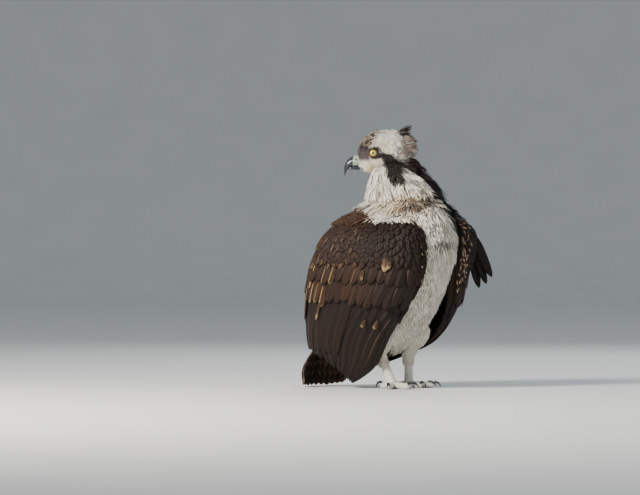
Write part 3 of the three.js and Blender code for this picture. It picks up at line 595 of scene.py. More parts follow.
def grid_faces(rows, columns, wrap, loop=False):
    """Four-cornered faces of a grid whose points are numbered row by row.

    With wrap each row closes on itself, and with loop the last row joins the first.
    """
    i = np.arange(rows if loop else rows - 1)[:, None]
    j = np.arange(columns if wrap else columns - 1)[None, :]
    k = (j + 1) % columns
    here, below = i * columns, (i + 1) % rows * columns
    return np.stack([here + j, here + k, below + k, below + j], axis=-1).reshape(-1, 4)


def outward(points, lists, sample=None):
    """Lists of faces, all turned over if the solid that they close is inside out.

    The volume's sign tells: the sum, over the sample's four-cornered faces, of the first
    corner times the cross product of the next two, and of the last two.
    """
    a, b, c, d = (points[corner] for corner in (lists[0] if sample is None else sample).T)
    total = np.einsum("ij,ij->", a, np.cross(b, c)) + np.einsum("ij,ij->", a, np.cross(c, d))
    return lists if total > 0 else [part[:, ::-1] for part in lists]


def lathe_grid(points):
    """Vertices and faces of closed rings with a point at each end, at the ends' middles."""
    rows, columns = points.shape[:2]
    poles = [points[0].mean(axis=0), points[-1].mean(axis=0)]
    vertices = np.concatenate([points.reshape(-1, 3), poles])
    j = np.arange(columns)
    k = (j + 1) % columns
    start = np.stack([np.full(columns, rows * columns), k, j], axis=-1)
    base = (rows - 1) * columns
    end = np.stack([np.full(columns, rows * columns + 1), base + j, base + k], axis=-1)
    return vertices, [grid_faces(rows, columns, True), start, end]


def link(name, mesh):
    """An object of a mesh, set in the scene."""
    piece = bpy.data.objects.new(name, mesh)
    bpy.context.scene.collection.objects.link(piece)
    return piece


def build(name, vertices, faces):
    """A smooth mesh object from millimetre vertices and lists of faces of equal corner counts."""
    mesh = bpy.data.meshes.new(name)
    mesh.vertices.add(len(vertices))
    mesh.vertices.foreach_set("co", (vertices * MM + SHIFT).astype(np.float32).ravel())
    corners = np.concatenate([part.ravel() for part in faces])
    totals = np.concatenate([np.full(len(part), part.shape[1]) for part in faces])
    starts = np.concatenate([[0], np.cumsum(totals)[:-1]])
    mesh.loops.add(len(corners))
    mesh.loops.foreach_set("vertex_index", corners.astype(np.int32))
    mesh.polygons.add(len(totals))
    mesh.polygons.foreach_set("loop_start", starts.astype(np.int32))
    mesh.polygons.foreach_set("use_smooth", np.full(len(totals), True))
    mesh.update(calc_edges=True)
    mesh.validate()
    return link(name, mesh)


def closed_tube(name, points):
    """A closed piece of rings with its faces turned outwards."""
    vertices, faces = lathe_grid(points)
    return build(name, vertices, outward(vertices, faces))


def set_values(piece, name, values):
    """Writes under a name one colour a vertex, or one vector where a row has three values."""
    kind, field = {3: ("FLOAT_VECTOR", "vector"), 4: ("FLOAT_COLOR", "color")}[values.shape[-1]]
    layer = piece.data.attributes.new(name, kind, "POINT")
    layer.data.foreach_set(field, np.asarray(values, np.float32).ravel())


def set_tint(piece, tint):
    """Writes the colour that a piece's material starts from."""
    set_values(piece, "tint", np.column_stack([tint, np.ones(len(tint))]))


def set_zone(piece, first, second, poles=None):
    """Writes two values a vertex of rings, and at the poles those of the first and last."""
    first, second = np.broadcast_arrays(first, second)
    zone = np.stack([first, second, 0 * first], axis=-1).reshape(-1, 3)
    set_values(piece, "zone", np.concatenate([zone, zone[[0, -1]] if poles is None else poles]))


def set_bake_map(piece, places):
    """Writes the UV map that baking uses, from one place a vertex."""
    layer = piece.data.uv_layers.new(name="OFBake")
    corners = np.empty(len(piece.data.loops), np.int32)
    piece.data.loops.foreach_get("vertex_index", corners)
    layer.data.foreach_set("uv", np.asarray(places, np.float32)[corners].ravel())


# Outlines of vanes: places along them and their shares of the full half width
TUFT = np.array([[0, 0.4], [0.4, 1.0], [0.78, 0.72], [1, 0.04]])
LOCK = np.array([[0, 0.35], [0.3, 0.9], [0.6, 1.0], [0.84, 0.6], [1, 0.03]])
BLADE = np.array([[0, 0.5], [0.3, 1.0], [0.55, 0.85], [0.8, 0.5], [1, 0.03]])
SCALE = np.array([[0, 0.45], [0.25, 0.85], [0.5, 1.0], [0.75, 0.96], [0.91, 0.68], [1, 0.2]])
COVERT = np.array([
    [0, 0.4], [0.16, 0.78], [0.36, 0.95], [0.56, 1], [0.74, 0.97], [0.87, 0.8], [0.96, 0.46], [1, 0.14],
])
QUILL = np.array([
    [0, 0.45], [0.1, 0.75], [0.24, 0.95], [0.4, 1.0], [0.56, 0.98],
    [0.7, 0.9], [0.8, 0.78], [0.88, 0.62], [0.95, 0.4], [1, 0.08],
])
BROAD = np.array([
    [0, 0.45], [0.14, 0.8], [0.34, 0.96], [0.55, 1], [0.74, 1],
    [0.86, 0.96], [0.94, 0.8], [0.98, 0.54], [1, 0.16],
])
LONG = np.linspace(0, 1, 25)
LONG_QUILL = np.column_stack([LONG, np.interp(LONG, *QUILL.T)])
LONG_BROAD = np.column_stack([LONG, np.interp(LONG, *BROAD.T)])
# Sections of vanes: place across from -1 to 1, height in thicknesses
TENT = np.array([[-1, 0], [0, 1], [1, 0]])
THIN = np.array([[-1, 0], [0, 0.6], [1, 0], [0, -0.4]])
SHAFTED = np.array(
    [[-1, 0], [-0.55, 0.4], [-0.08, 0.5], [0, 1.3], [0.08, 0.5], [0.55, 0.4], [1, 0], [0, -0.6]]
)


def vanes(path, normal, half, lift, outline, section, thick, cup, random):
    """Thin closed vanes along paths.

    Each point is the path's own, plus the way across times the half width's share there,
    plus the way out times its lift, its thickness and minus the cup times the square of
    the place across, so that a vane curves down at both sides.
    """
    share = outline[:, 1]
    along = unit(np.gradient(path, axis=1))
    across = unit(np.cross(normal, along))
    out = unit(np.cross(along, across))
    wide = half[:, None] * share
    a = section[:, 0]
    height = lift[:, :, None] + thick * section[:, 1] - (cup * wide)[:, :, None] * a**2
    points = (
        path[:, :, None]
        + (wide[:, :, None] * a)[..., None] * across[:, :, None]
        + height[..., None] * out[:, :, None]
    )
    place_along, place_across = outline[None, :, :1], (share[:, None] * a)[None]
    tone = random.uniform(0, 1, len(path))[:, None, None]
    vane = np.stack(np.broadcast_arrays(place_along, place_across, tone), axis=-1)
    return {"points": points, "vane": vane}


def set_map(made, places):
    """Adds to vanes their bake map: each small vane lies round the place of its root."""
    made["map"] = places[:, None, None] + MAP_VANE * (made["vane"][..., [1, 0]] - [0, 0.5])
    return made


def feathers(sheet, root, tip, half, lift, outline, section, random, thick=0.7, cup=0.16, bow=0.6):
    """Vanes that follow a sheet from root places to tip places.

    The lift is a pair, at the root and at the tip. It rises from one to the other with the
    0.7th power of the way along, so that a vane comes out soon and then lies flat, plus a bow.
    """
    k = outline[:, 0]
    rows = np.broadcast_arrays(*root, *tip, half, *lift)
    root_u, root_v, tip_u, tip_v, half, low, high = (row[:, None] for row in rows)
    path, normal = sheet.at(root_u + (tip_u - root_u) * k, root_v + (tip_v - root_v) * k)
    height = low + (high - low) * k**0.7 + bow * 4 * k * (1 - k)
    made = vanes(path, normal, half[:, 0], height, outline, section, thick, cup, random)
    across = np.mod(root_v, 1) if sheet.closed else np.clip(root_v, 0, 1)
    return set_map(made, np.concatenate([across, np.clip(root_u, 0, 1)], axis=1) * 0.994 + MAP_VANE)


def strands(root, tip, out, half, bow, outline, section, random, thick=0.6):
    """Vanes that run freely from root points to tip points, bent out on their way."""
    k = outline[:, 0]
    half, bow, _ = np.broadcast_arrays(half, bow, root[:, 0])
    out = np.broadcast_to(out, root.shape)[:, None]
    arch = bow[:, None] * 4 * k * (1 - k)
    path = root[:, None] * (1 - k[:, None]) + tip[:, None] * k[:, None] + arch[..., None] * out
    normal, flat = np.broadcast_to(out, path.shape), np.zeros(path.shape[:2])
    made = vanes(path, normal, half, flat, outline, section, thick, 0.1, random)
    return set_map(made, 0.5 + 0.12 * (random.uniform(0, 1, (len(root), 2)) - 0.5))


def coloured(made, base, fringe, marks=(0, 0, 0, 0)):
    """Adds to vanes their colour, the colour of their marks and the marks' strengths.

    The four marks are the pale end, the spot before it, the streak along and the bars.
    """
    count = len(made["points"])
    for key, value in (("tint", base), ("fringe", fringe)):
        made[key] = np.column_stack([np.broadcast_to(value, (count, 3)), np.ones(count)])
    made["marks"] = np.broadcast_to(marks, (count, 4))
    return made


def vane_faces(count, stations, sides):
    """Faces of many vanes: the rings' quads and one face at each end."""
    quads = grid_faces(stations, sides, True)
    first = np.arange(sides)[None, ::-1]
    last = (stations - 1) * sides + np.arange(sides)[None]
    offset = (np.arange(count) * stations * sides)[:, None, None]
    return [(part[None] + offset).reshape(-1, part.shape[1]) for part in (quads, first, last)]


def plumage(name, groups, nodes, material):
    """Joins groups of vanes into one piece with its values and its map."""
    vertices, faces, start = [], [], 0
    values = {"vane": [], "tint": [], "fringe": [], "marks": [], "map": []}
    for made in groups:
        count, stations, sides = made["points"].shape[:3]
        flat, each = made["points"].reshape(-1, 3), stations * sides
        parts = vane_faces(count, stations, sides)
        first_vane = parts[0][: (stations - 1) * sides]
        parts = outward(flat - flat[:each].mean(axis=0), parts, first_vane)
        faces += [part + start for part in parts]
        start += len(flat)
        vertices.append(flat)
        for key in ("tint", "fringe", "marks"):
            values[key].append(np.repeat(made[key], each, axis=0))
        values["vane"].append(made["vane"].reshape(-1, 3))
        values["map"].append(made["map"].reshape(-1, 2))
    piece = build(name, np.concatenate(vertices), faces)
    for key in ("vane", "tint", "fringe", "marks"):
        set_values(piece, key, np.concatenate(values[key]))
    set_bake_map(piece, np.concatenate(values["map"]))
    return finish(piece, nodes, material)


def finish(piece, nodes, material):
    """Gives a piece its material and its body, and hides the nodes it stands for."""
    piece.data.materials.append(material)
    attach(piece, "root")
    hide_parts(*nodes)
    return piece


class Value:
    """One number of a material: its operators add the nodes that work it out."""

    def __init__(self, paint, socket):
        self.paint = paint
        self.socket = socket

    def math(self, operation, *others):
        """The number and any others through one operation."""
        inputs = dict(enumerate([self, *others]))
        node = self.paint.node("ShaderNodeMath", {"operation": operation}, inputs)
        return Value(self.paint, node.outputs[0])

    def __add__(self, other):
        return self.math("ADD", other)

    __radd__ = __add__

    def __sub__(self, other):
        return self.math("SUBTRACT", other)

    def __rsub__(self, other):
        """The other minus this one: this one times minus one, plus the other."""
        return self.math("MULTIPLY_ADD", -1.0, other)

    def __mul__(self, other):
        return self.math("MULTIPLY", other)

    __rmul__ = __mul__

    def size(self):
        """The number without its sign."""
        return self.math("ABSOLUTE")

    def wave(self):
        """The number's sine."""
        return self.math("SINE")

    def greater(self, other):
        """The larger of the two."""
        return self.math("MAXIMUM", other)

    def ramp(self, low, high):
        """From 0 at low to 1 at high, smoothly, and level outside."""
        settings = {"interpolation_type": "SMOOTHSTEP"}
        inputs = {"Value": self, "From Min": low, "From Max": high}
        node = self.paint.node("ShaderNodeMapRange", settings, inputs)
        return Value(self.paint, node.outputs[0])


class Paint:
    """A material that is put together from nodes."""

    def __init__(self, name):
        self.material = bpy.data.materials.new(name)
        self.material.use_nodes = True
        self.tree = self.material.node_tree
        self.surface = self.tree.nodes["Principled BSDF"]

    def node(self, kind, settings, inputs):
        """A node of a type, with its settings first and then its inputs' numbers or links."""
        node = self.tree.nodes.new(kind)
        for key, value in settings.items():
            setattr(node, key, value)
        for key, value in inputs.items():
            self.put(node.inputs[key], value)
        return node

    def put(self, socket, value):
        """Links a value to a socket or sets it there: a colour is an array or six digits."""
        if isinstance(value, Value):
            self.tree.links.new(value.socket, socket)
            return
        if isinstance(value, str):
            value = linear(value)
        socket.default_value = rgba(value) if isinstance(value, np.ndarray) else value

    def attribute(self, name):
        """The node that reads a piece's values of a name."""
        return self.node("ShaderNodeAttribute", {"attribute_name": name}, {})

    def parts(self, name):
        """The three numbers of an attribute."""
        source = self.attribute(name).outputs["Vector"]
        node = self.node("ShaderNodeSeparateXYZ", {}, {0: Value(self, source)})
        return [Value(self, node.outputs[i]) for i in range(3)]

    def colour(self, name):
        """The colour that a piece's values of a name give."""
        return Value(self, self.attribute(name).outputs["Color"])

    def place(self):
        """The place on the object, in metres."""
        node = self.node("ShaderNodeTexCoord", {}, {})
        return Value(self, node.outputs["Object"])

    def noise(self, scale, detail=3.0, vector=None):
        """Cloudy noise from 0 to 1, of so many cycles a metre."""
        inputs = {"Vector": vector or self.place(), "Scale": scale, "Detail": detail}
        node = self.node("ShaderNodeTexNoise", {}, inputs)
        return Value(self, node.outputs[0])

    def cells(self, scale, feature):
        """A distance in a pattern of cells, so many of them a metre."""
        inputs = {"Vector": self.place(), "Scale": scale}
        node = self.node("ShaderNodeTexVoronoi", {"feature": feature}, inputs)
        return Value(self, node.outputs["Distance"])

    def mix(self, share, first, second, blend="MIX"):
        """The first colour at a share of 0 and, mixed or multiplied in, the second at 1."""
        settings = {"data_type": "RGBA", "blend_type": blend}
        node = self.node("ShaderNodeMix", settings, {0: share, 6: first, 7: second})
        return Value(self, node.outputs[2])

    def bump(self, height, strength, distance):
        """Tilts the surface as a height would, without moving it."""
        inputs = {"Height": height, "Strength": strength, "Distance": distance}
        node = self.node("ShaderNodeBump", {}, inputs)
        self.tree.links.new(node.outputs[0], self.surface.inputs["Normal"])

    def set(self, **values):
        """Puts values or numbers in the surface's sockets of these names."""
        for key, value in values.items():
            self.put(self.surface.inputs[key.replace("_", " ")], value)
        return self.material


def rgba(colour):
    """A colour with full opacity, as the plain numbers that a socket takes."""
    return (*[float(value) for value in colour], 1.0)


def plumage_material(name, roughness, sheen, barb_depth=0.00012, rim=0.0):
    """Feathers: the vane's own colour and marks, a shaft line, barbs, a tone for each and painted shade
    towards each vane's root.

    Each mark is a mask by the places along and across the vane, made ragged by noise, and
    the strongest mask mixes in the colour of the marks. Barbs are a sine of both places.
    """
    paint = Paint(name)
    along, across, tone = paint.parts("vane")
    base, fringe = paint.colour("tint"), paint.colour("fringe")
    marks = paint.attribute("marks")
    split = paint.node("ShaderNodeSeparateColor", {}, {0: Value(paint, marks.outputs["Color"])})
    end, spot, streak = (Value(paint, split.outputs[i]) for i in range(3))
    bars = Value(paint, marks.outputs["Alpha"])
    width = across.size()
    ragged = paint.noise(420.0) * 0.16 - 0.08
    end_mask = (along + width * 0.14 + ragged + end).ramp(0.98, 1.1) * end.ramp(0.02, 0.06)
    spot_shape = 1.0 - (along - 0.88) * (along - 0.88) * 60.0 - width * width * 5.0
    spot_mask = (spot_shape + ragged).ramp(0.0, 0.45) * spot
    beside = (across - (tone - 0.5) * 0.9).size()
    streak_mask = (1.0 - (beside + ragged).ramp(0.04, 0.16)) * streak * along.ramp(0.4, 0.62)
    bar_mask = ((along * 40.0 + width * 3.0).wave() + ragged * 3.0).ramp(0.25, 0.75) * bars
    mask = end_mask.greater(spot_mask).greater(streak_mask).greater(bar_mask)
    colour = paint.mix(mask, base, fringe)
    barbs = (along * 95.0 - width * 60.0 + tone * 9.0).wave()
    # painted shade: each vane darkens towards its root, where the vanes over it would shade it; the
    # random tone and the barbs vary it
    shade = tone * 0.24 + along.ramp(0.1, 0.8) * 0.3 + barbs * 0.04 + 0.56
    lit = paint.node("ShaderNodeCombineColor", {}, {0: shade, 1: shade, 2: shade})
    colour = paint.mix(1.0, colour, Value(paint, lit.outputs[0]), "MULTIPLY")
    shaft = 1.0 - width.ramp(0.02, 0.09)
    colour = paint.mix(shaft * 0.35, colour, DARK)
    colour = paint.mix(width.ramp(0.82, 0.98) * rim, colour, GREY_BROWN)
    paint.bump(barbs * 0.5 + shaft * 1.5, 0.5, barb_depth)
    paint.set(Sheen_Weight=sheen, Sheen_Roughness=0.5, Specular_IOR_Level=0.22)
    return paint.set(Base_Color=colour, Roughness=roughness)


def skin_material():
    """The down under the coat: its own tint, darkened by fine noise."""
    paint = Paint("skin")
    fine = paint.noise(260.0)
    colour = paint.mix(fine * 0.6, paint.colour("tint"), DARK)
    paint.bump(fine, 0.5, 0.0006)
    return paint.set(Base_Color=colour, Roughness=0.85)


def bill_material():
    """Streaked black horn that passes into a pale, duller cere, and painted shade that darkens each
    nostril's pit, most at its deepest.
    """
    paint = Paint("bill_horn")
    cere, pit, _ = paint.parts("zone")
    fine = paint.noise(300.0, 4.0)
    horn = paint.mix(paint.noise(60.0, 3.0), "15161b", "2c2e36")
    skin = paint.mix(fine, "77837d", "a0a896")
    # painted shade: near-black in the nostrils' pits, strongest where they are deepest
    colour = paint.mix(pit, paint.mix(cere, horn, skin), "121214")
    paint.bump(fine, 0.25, 0.0004)
    return paint.set(Base_Color=colour, Roughness=cere * 0.2 + 0.26, Coat_Weight=0.25)


def eye_material():
    """The ball by the distance from its axis: pupil, veined iris and a dark rim."""
    paint = Paint("eye_glass")
    disc, around, _ = paint.parts("zone")
    veins = paint.node("ShaderNodeCombineXYZ", {}, {0: around * 6.0, 1: disc * 0.6})
    fine = paint.noise(3.0, 4.0, Value(paint, veins.outputs[0]))
    iris = paint.mix(disc.ramp(5.4, 7.4), paint.mix(fine, "a08010", "e4cc40"), "8a5a0c")
    colour = paint.mix(disc.ramp(2.5, 2.8), "050505", iris)
    colour = paint.mix(disc.ramp(7.3, 7.7), colour, "120d0a")
    return paint.set(Base_Color=colour, Roughness=0.12, Coat_Weight=1.0, Coat_Roughness=0.02)


def lid_material():
    """Dark, finely grained skin."""
    paint = Paint("lid_skin")
    fine = paint.noise(500.0, 3.0)
    paint.bump(fine, 0.5, 0.0004)
    return paint.set(Base_Color=paint.mix(fine, "17120f", "3a3029"), Roughness=0.5)


def leg_material():
    """Pale blue-grey scales with darker seams, a cream tint on some of them, and a darker grey low on
    the toes.
    """
    paint = Paint("leg_scales")
    plates, low_on_toe, _ = paint.parts("zone")
    edge = paint.cells(420.0, "DISTANCE_TO_EDGE")
    seam = 1.0 - edge.ramp(0.02, 0.16)
    colour = paint.mix(paint.noise(55.0, 2.0).ramp(0.35, 0.65), "cfd1ca", "e6dfc9")
    # darker grey on the toes' lowest few millimetres, by the floor
    colour = paint.mix(low_on_toe * 0.5, colour, "8f8c80")
    colour = paint.mix(seam * 0.35, colour, "7e8180")
    paint.bump(edge.ramp(0.0, 0.3) + plates, 0.8, 0.0009)
    return paint.set(Base_Color=colour, Roughness=0.48)


def claw_material():
    """Black horn, streaked and glossy."""
    paint = Paint("claw_horn")
    long = paint.noise(120.0, 4.0)
    paint.bump(long, 0.25, 0.0003)
    colour = paint.mix(long, "0b0b0d", "2b2a2c")
    return paint.set(Base_Color=colour, Roughness=0.22, Coat_Weight=0.4)


PLUMAGE = plumage_material("down_plumage", 0.82, 0.12)
WING_PLUMAGE = plumage_material("flight_plumage", 0.6, 0.0, 0.0002, 0.22)
SKIN = skin_material()


# Markings: colours of the coat at places of the body and of the head
def round_body(points):
    """The x, s and z of points and their turn round the body in degrees, from its left."""
    x, s, z = points[:, 0], -points[:, 1], points[:, 2]
    return x, s, z, np.degrees(np.arctan2(s - 15, x)) % 360


def eye_band(points, wobble):
    """The dark band behind the eye: a line that bends down, and its half width, by f and u."""
    f, l, u = head_frame(points)
    back = np.clip(26 - f, 0, 60)
    centre = -9.5 - 0.012 * back**2 - 0.32 * back
    width = 5.5 + 0.32 * np.clip(26 - f, 0, 30)
    first = step(1.2, 0.85, np.abs(u - centre + 1.2 * wobble) / width) * step(-26, -16, f)
    first = first * step(43, 37, f)
    middle = np.interp(u, [-64, -43, -20], [-5, -8, -6])
    reach = np.interp(u, [-66, -56, -43, -20], [2, 8, 14, 15])
    second = step(1.25, 0.8, np.abs(f - middle + 2.2 * wobble) / reach) * step(-12, -20, u)
    second = second * step(-66, -54, u + 4.0 * wobble)
    return np.maximum(first, second) * step(3, 9, np.abs(l))


def body_marks(points, random):
    """The body's colours: white below and in front, brown over the back, a dark mane, and painted
    shade: greyer low on the belly, between clumps and in two folds.

    Each mark is a product of soft steps and bells of the height, the turn round the body
    and the place across the photo's view, roughened by chance, and is mixed over the last.
    """
    count = len(points)
    x, s, z, angle = round_body(points)
    wobble = random.normal(0, 1, count)
    chance = random.uniform(0, 1, count)
    across = VIEW_RIGHT[0] * x + VIEW_RIGHT[1] * s
    clumps = np.sin(0.11 * z + 0.07 * across + 2.0 * np.sin(0.05 * x))
    clumps = clumps * np.sin(0.13 * across - 0.04 * z)
    white = blend(WHITE, CREAM, np.clip(0.2 + 0.2 * wobble + 0.25 * clumps, 0, 1))
    # painted shade: the white greys towards the lower belly, fully below a height of 150 mm
    shaded = blend(white, SHADE_WHITE, step(240, 150, z) * 0.6)
    # painted shade: a grey-beige tone in slow waves over the coat, darker where its clumps would shade
    # one another
    base = blend(shaded, linear("bdb09c"), np.clip(0.55 * clumps - 0.1 + 0.15 * wobble, 0, 0.6))
    buff = hill(z, 376, 24) * hill(across, 16, 36) * (angle < 200)
    base = blend(base, linear("d3b48c"), np.clip(buff * (0.8 + 0.3 * wobble), 0, 0.85))
    back = step(176, 190, angle + 4 * wobble) * step(386, 366, z + 4 * wobble)
    back = back * step(372, 345, angle)
    left_of = step(-40, -54, across + 3 * wobble) * step(384, 368, z + 3 * wobble)
    back = np.maximum(back, left_of * (angle > 150) * (angle < 345))
    shoulder = step(30, 8, angle + 4 * wobble) * step(372, 350, z + 5 * wobble)
    brown = np.maximum(back, shoulder)
    mantle = blend(MANTLE, CHOCOLATE, np.clip(0.6 + 0.35 * wobble, 0, 1))
    mantle = blend(mantle, RUST, hill(z, 335, 30) * 0.2)
    base = blend(base, mantle, brown)
    mane = step(82, 70, angle + 6 * wobble) * step(318, 345, z + 5 * wobble)
    behind = step(262, 300, angle + 9 * wobble) * step(340, 352, z)
    mane = np.maximum(mane, behind * 0.9)
    mane = np.maximum(mane, eye_band(points, wobble) * step(398, 408, z))
    dark = blend(BLACK_BROWN, CHOCOLATE, np.clip(0.4 + 0.4 * wobble, 0, 1))
    base = blend(base, dark, np.clip(mane, 0, 1))
    # two folds where the coat is in its own shade: a slanting one on the neck, one lower down
    fold = hill(z - 374 - (across - 36) * 0.4 + 3 * clumps, 0, 9) * hill(across, 42, 24)
    fold = fold * (angle < 150)
    share = np.clip(fold * 1.5 + 0.15 * wobble * (fold > 0.3), 0, 0.92)
    base = blend(base, linear("4b3a2f"), share)
    fold = hill(z - 302 - (across - 92) * 0.2, 0, 5) * hill(across, 92, 20) * (angle < 110)
    base = blend(base, linear("56504d"), np.clip(1.2 * fold, 0, 0.85))
    fringe = np.where(brown[:, None] > 0.5, BUFF, linear("4a3020"))
    marks = np.zeros((count, 4))
    marks[:, 0] = (brown > 0.5) * 0.03 * (chance > 0.85)
    speckle = hill(z, 374, 30) * hill(across, 22, 46) * (mane < 0.3) * (brown < 0.3)
    marks[:, 1] = chance < 0.6 * speckle
    return base, fringe, marks, brown, mane


def head_marks(points, random):
    """The head's colours: white with a streaked brow and a dark band through the eye.

    Each mark is a product of soft steps and bells of f, l and u, roughened by chance.
    """
    count = len(points)
    f, l, u = head_frame(points)
    wobble = random.normal(0, 1, count)
    chance = random.uniform(0, 1, count)
    base = blend(WHITE, CREAM, np.clip(0.2 + 0.25 * wobble, 0, 1))
    warm = hill(f, 36, 16) * hill(u, -34, 16)
    base = blend(base, linear("e8d3a0"), np.clip(warm * 0.6, 0, 1))
    warm = hill(f, 18, 18) * hill(u, 10, 9)
    base = blend(base, linear("e9dcae"), np.clip(warm * 0.5, 0, 1))
    lores = step(39, 45, f + 0.8 * wobble) * step(-24, -16, u) * step(8, 2, u - 0.25 * (f - 42))
    band = eye_band(points, wobble)
    bar = hill(f + 8 + 0.15 * u, 0, 2.2) * step(12, 5, u) * step(-18, -10, u)
    bar = bar * step(8, 16, np.abs(l))
    eyeline = np.hypot(f - EYE["f"], (u - EYE["u"]) * 1.05)
    round_eye = step(14.5, 11.0, eyeline + 0.8 * wobble)
    dark = blend(BLACK_BROWN, CHOCOLATE, np.clip(0.35 + 0.35 * wobble, 0, 1))
    crest = step(-11, -19, f + 1.5 * wobble) * step(-16, -8, u)
    crest_colour = blend(linear("8f705c"), ASH, np.clip(0.5 + 0.4 * wobble, 0, 1))
    base = blend(base, crest_colour, crest * 0.85)
    tip = step(-20, -30, f) * step(24, 31, u)
    nape = step(-18, -27, f) * step(-12, -18, u)
    front = step(34, 50, f + 0.4 * u) * step(-6, 4, u)
    base = blend(base, linear("a98f70"), np.clip(front * 0.5, 0, 1))
    lores_colour = blend(LORES, GREY_BROWN, np.clip(0.25 + 0.4 * wobble, 0, 1))
    for mask, colour in ((lores, lores_colour), (band, dark), (bar, dark), (round_eye, dark)):
        base = blend(base, colour, np.clip(mask, 0, 1))
    base = blend(base, BLACK_BROWN, tip)
    base = blend(base, blend(linear("2e1d18"), BLACK_BROWN, chance), nape)
    marks = np.zeros((count, 4))
    streaked = np.maximum(front, 0.25 * step(30, 36, u))
    dark_tuft = (chance < 0.6 * streaked)[:, None]
    tuft_colour = blend(linear("3a271d"), BLACK_BROWN, np.clip(0.5 * wobble, 0, 1))
    base = np.where(dark_tuft, tuft_colour, base)
    return base, linear("2f201a"), marks


body_grid = body_points()
body_sheet = Sheet(body_grid, body_grid.mean(axis=1, keepdims=True), True)
head_grid = head_points()
head_sheet = Sheet(head_grid, head_grid.mean(axis=1, keepdims=True), True)


def body_share(z):
    """The share of the way down the body's sheet at a height."""
    heights = body_grid[:, :, 2].mean(axis=1)
    return float(np.interp(-z, -heights, np.linspace(0, 1, len(heights))))


def combed(points, random):
    """How tufts turn and rise together in clumps: slow waves over the place, plus chance."""
    x, y, z = points.T
    wave = np.sin(0.13 * z + 0.05 * x + 1.7 * np.sin(0.06 * y))
    wave = wave + np.sin(0.09 * x - 0.11 * y + 0.05 * z)
    ridge = np.sin(0.21 * x + 0.17 * y + 0.06 * z) * np.sin(0.1 * z - 0.08 * x)
    return 0.14 * wave + random.normal(0, 0.1, len(points)), 1 + 0.45 * ridge


def thigh_grid(name, grow=0.0):
    """A thigh down to its ankle: rings round a bent line, widest a third of the way down."""
    foot = FEET[name]
    side = foot["side"]
    line = np.array(
        [
            [0, *place(side * THIGH_TOP[0], THIGH_TOP[1], THIGH_TOP[2]), 14],
            [0.08, *place(side * 41.5, THIGH_TOP[1] - 2, 124), 24],
            [0.3, *place(side * 40, foot["ankle_s"] + 12, 104), 26],
            [0.56, *place(side * 38.5, foot["ankle_s"] + 4, 84), 17.5],
            [0.78, *place(foot["x"], foot["ankle_s"], foot["ankle_z"] - 10), 11.5],
            [1, *place(foot["x"], foot["ankle_s"] * 0.6 + foot["s"] * 0.4, 44), 10.2],
        ]
    )
    row = smooth_row(line, np.linspace(0, 1, 40))
    path = row[:, :3]
    rings = tube_points(path, row[:, 3] + grow, 60)
    return np.concatenate([rings, rings[:, :1]], axis=1), path


def skin_piece():
    """One skin under the whole coat: closed bodies, joined and smoothed by remeshing."""
    grids = [body_points(-BODY_COAT, 90, 73), head_points(-HEAD_COAT, 70, 91)]
    grids += [mass_points(form, -4) for form in (CREST, NAPE)]
    grids += [thigh_grid(name, -3.0)[0] for name in FEET]
    vertices, faces, start = [], [], 0
    for grid in grids:
        points, lists = lathe_grid(grid[:, :-1])
        faces += [part + start for part in outward(points - points.mean(axis=0), lists)]
        start += len(points)
        vertices.append(points)
    rough = build("skin_parts", np.concatenate(vertices), faces)
    remesh = rough.modifiers.new("remesh", "REMESH")
    remesh.mode = "VOXEL"
    remesh.voxel_size = 3.0 * MM
    remesh.use_smooth_shade = True
    rough.modifiers.new("soften", "SMOOTH").iterations = 4
    graph = bpy.context.evaluated_depsgraph_get()
    mesh = bpy.data.meshes.new_from_object(rough.evaluated_get(graph))
    bpy.data.objects.remove(rough)
    mesh.name = "skin"
    mesh.materials.clear()
    piece = link("skin", mesh)
    points = np.empty(len(mesh.vertices) * 3, np.float32)
    mesh.vertices.foreach_get("co", points)
    points = (points.reshape(-1, 3) - SHIFT) / MM
    random = np.random.default_rng(3)
    on_body, on_top = body_marks(points, random)[0], head_marks(points, random)[0]
    set_tint(piece, blend(on_body, on_top, step(425, 440, points[:, 2])))
    angle = np.arctan2(points[:, 1], points[:, 0]) / (2 * math.pi) + 0.5
    set_bake_map(piece, np.stack([angle, points[:, 2] / MAP_HEIGHT], axis=-1))
    return finish(piece, ["torso", "neck", "head", "thigh_left", "thigh_right"], SKIN)


def body_coat():
    """The body's tufts in rows, by region, except where the wings hide them.

    Brown tufts are longer and broader than white ones, and clumps rise together.
    """
    random = np.random.default_rng(11)
    groups = {"throat": [], "neck": [], "breast": [], "belly": []}
    loose = 1.0
    for region, top, low, apart, length, half, lift in BODY_TUFTS:
        u, v = body_sheet.scattered(apart * loose, random, body_share(top), body_share(low))
        points, _ = body_sheet.at(u, v)
        _, _, z, angle = round_body(points)
        hidden = (z < 322) & (z > 150) & ((angle < 14) | (angle > 170))
        hidden = hidden | ((z <= 150) & (angle > 200) & (angle < 320))
        f, l, height = head_frame(points)
        covered = (height > -24) & (np.hypot(f, l) < 30)
        u, v, points = pick(~hidden & ~covered, u, v, points)
        base, fringe, marks, brown, mane = body_marks(points, random)
        turn, rise = combed(points, random)
        count = len(u)
        long = length * random.uniform(0.7, 1.25, count) * (1 + 0.3 * (brown > 0.5))
        wide = half * random.uniform(0.75, 1.25, count) * (1 + 0.9 * (brown > 0.5))
        tip = body_sheet.ahead(u, v, long, turn)
        raised = lift * rise * random.uniform(0.5, 1.3, count) + 1.5 * (mane > 0.5)
        pair = (-BODY_COAT - 0.6, raised)
        outline = TUFT if half < 1.5 else LOCK
        made = feathers(body_sheet, (u, v), tip, wide, pair, outline, TENT, random, 0.42, 0.3)
        groups[region].append(coloured(made, base, fringe, marks))
    return groups


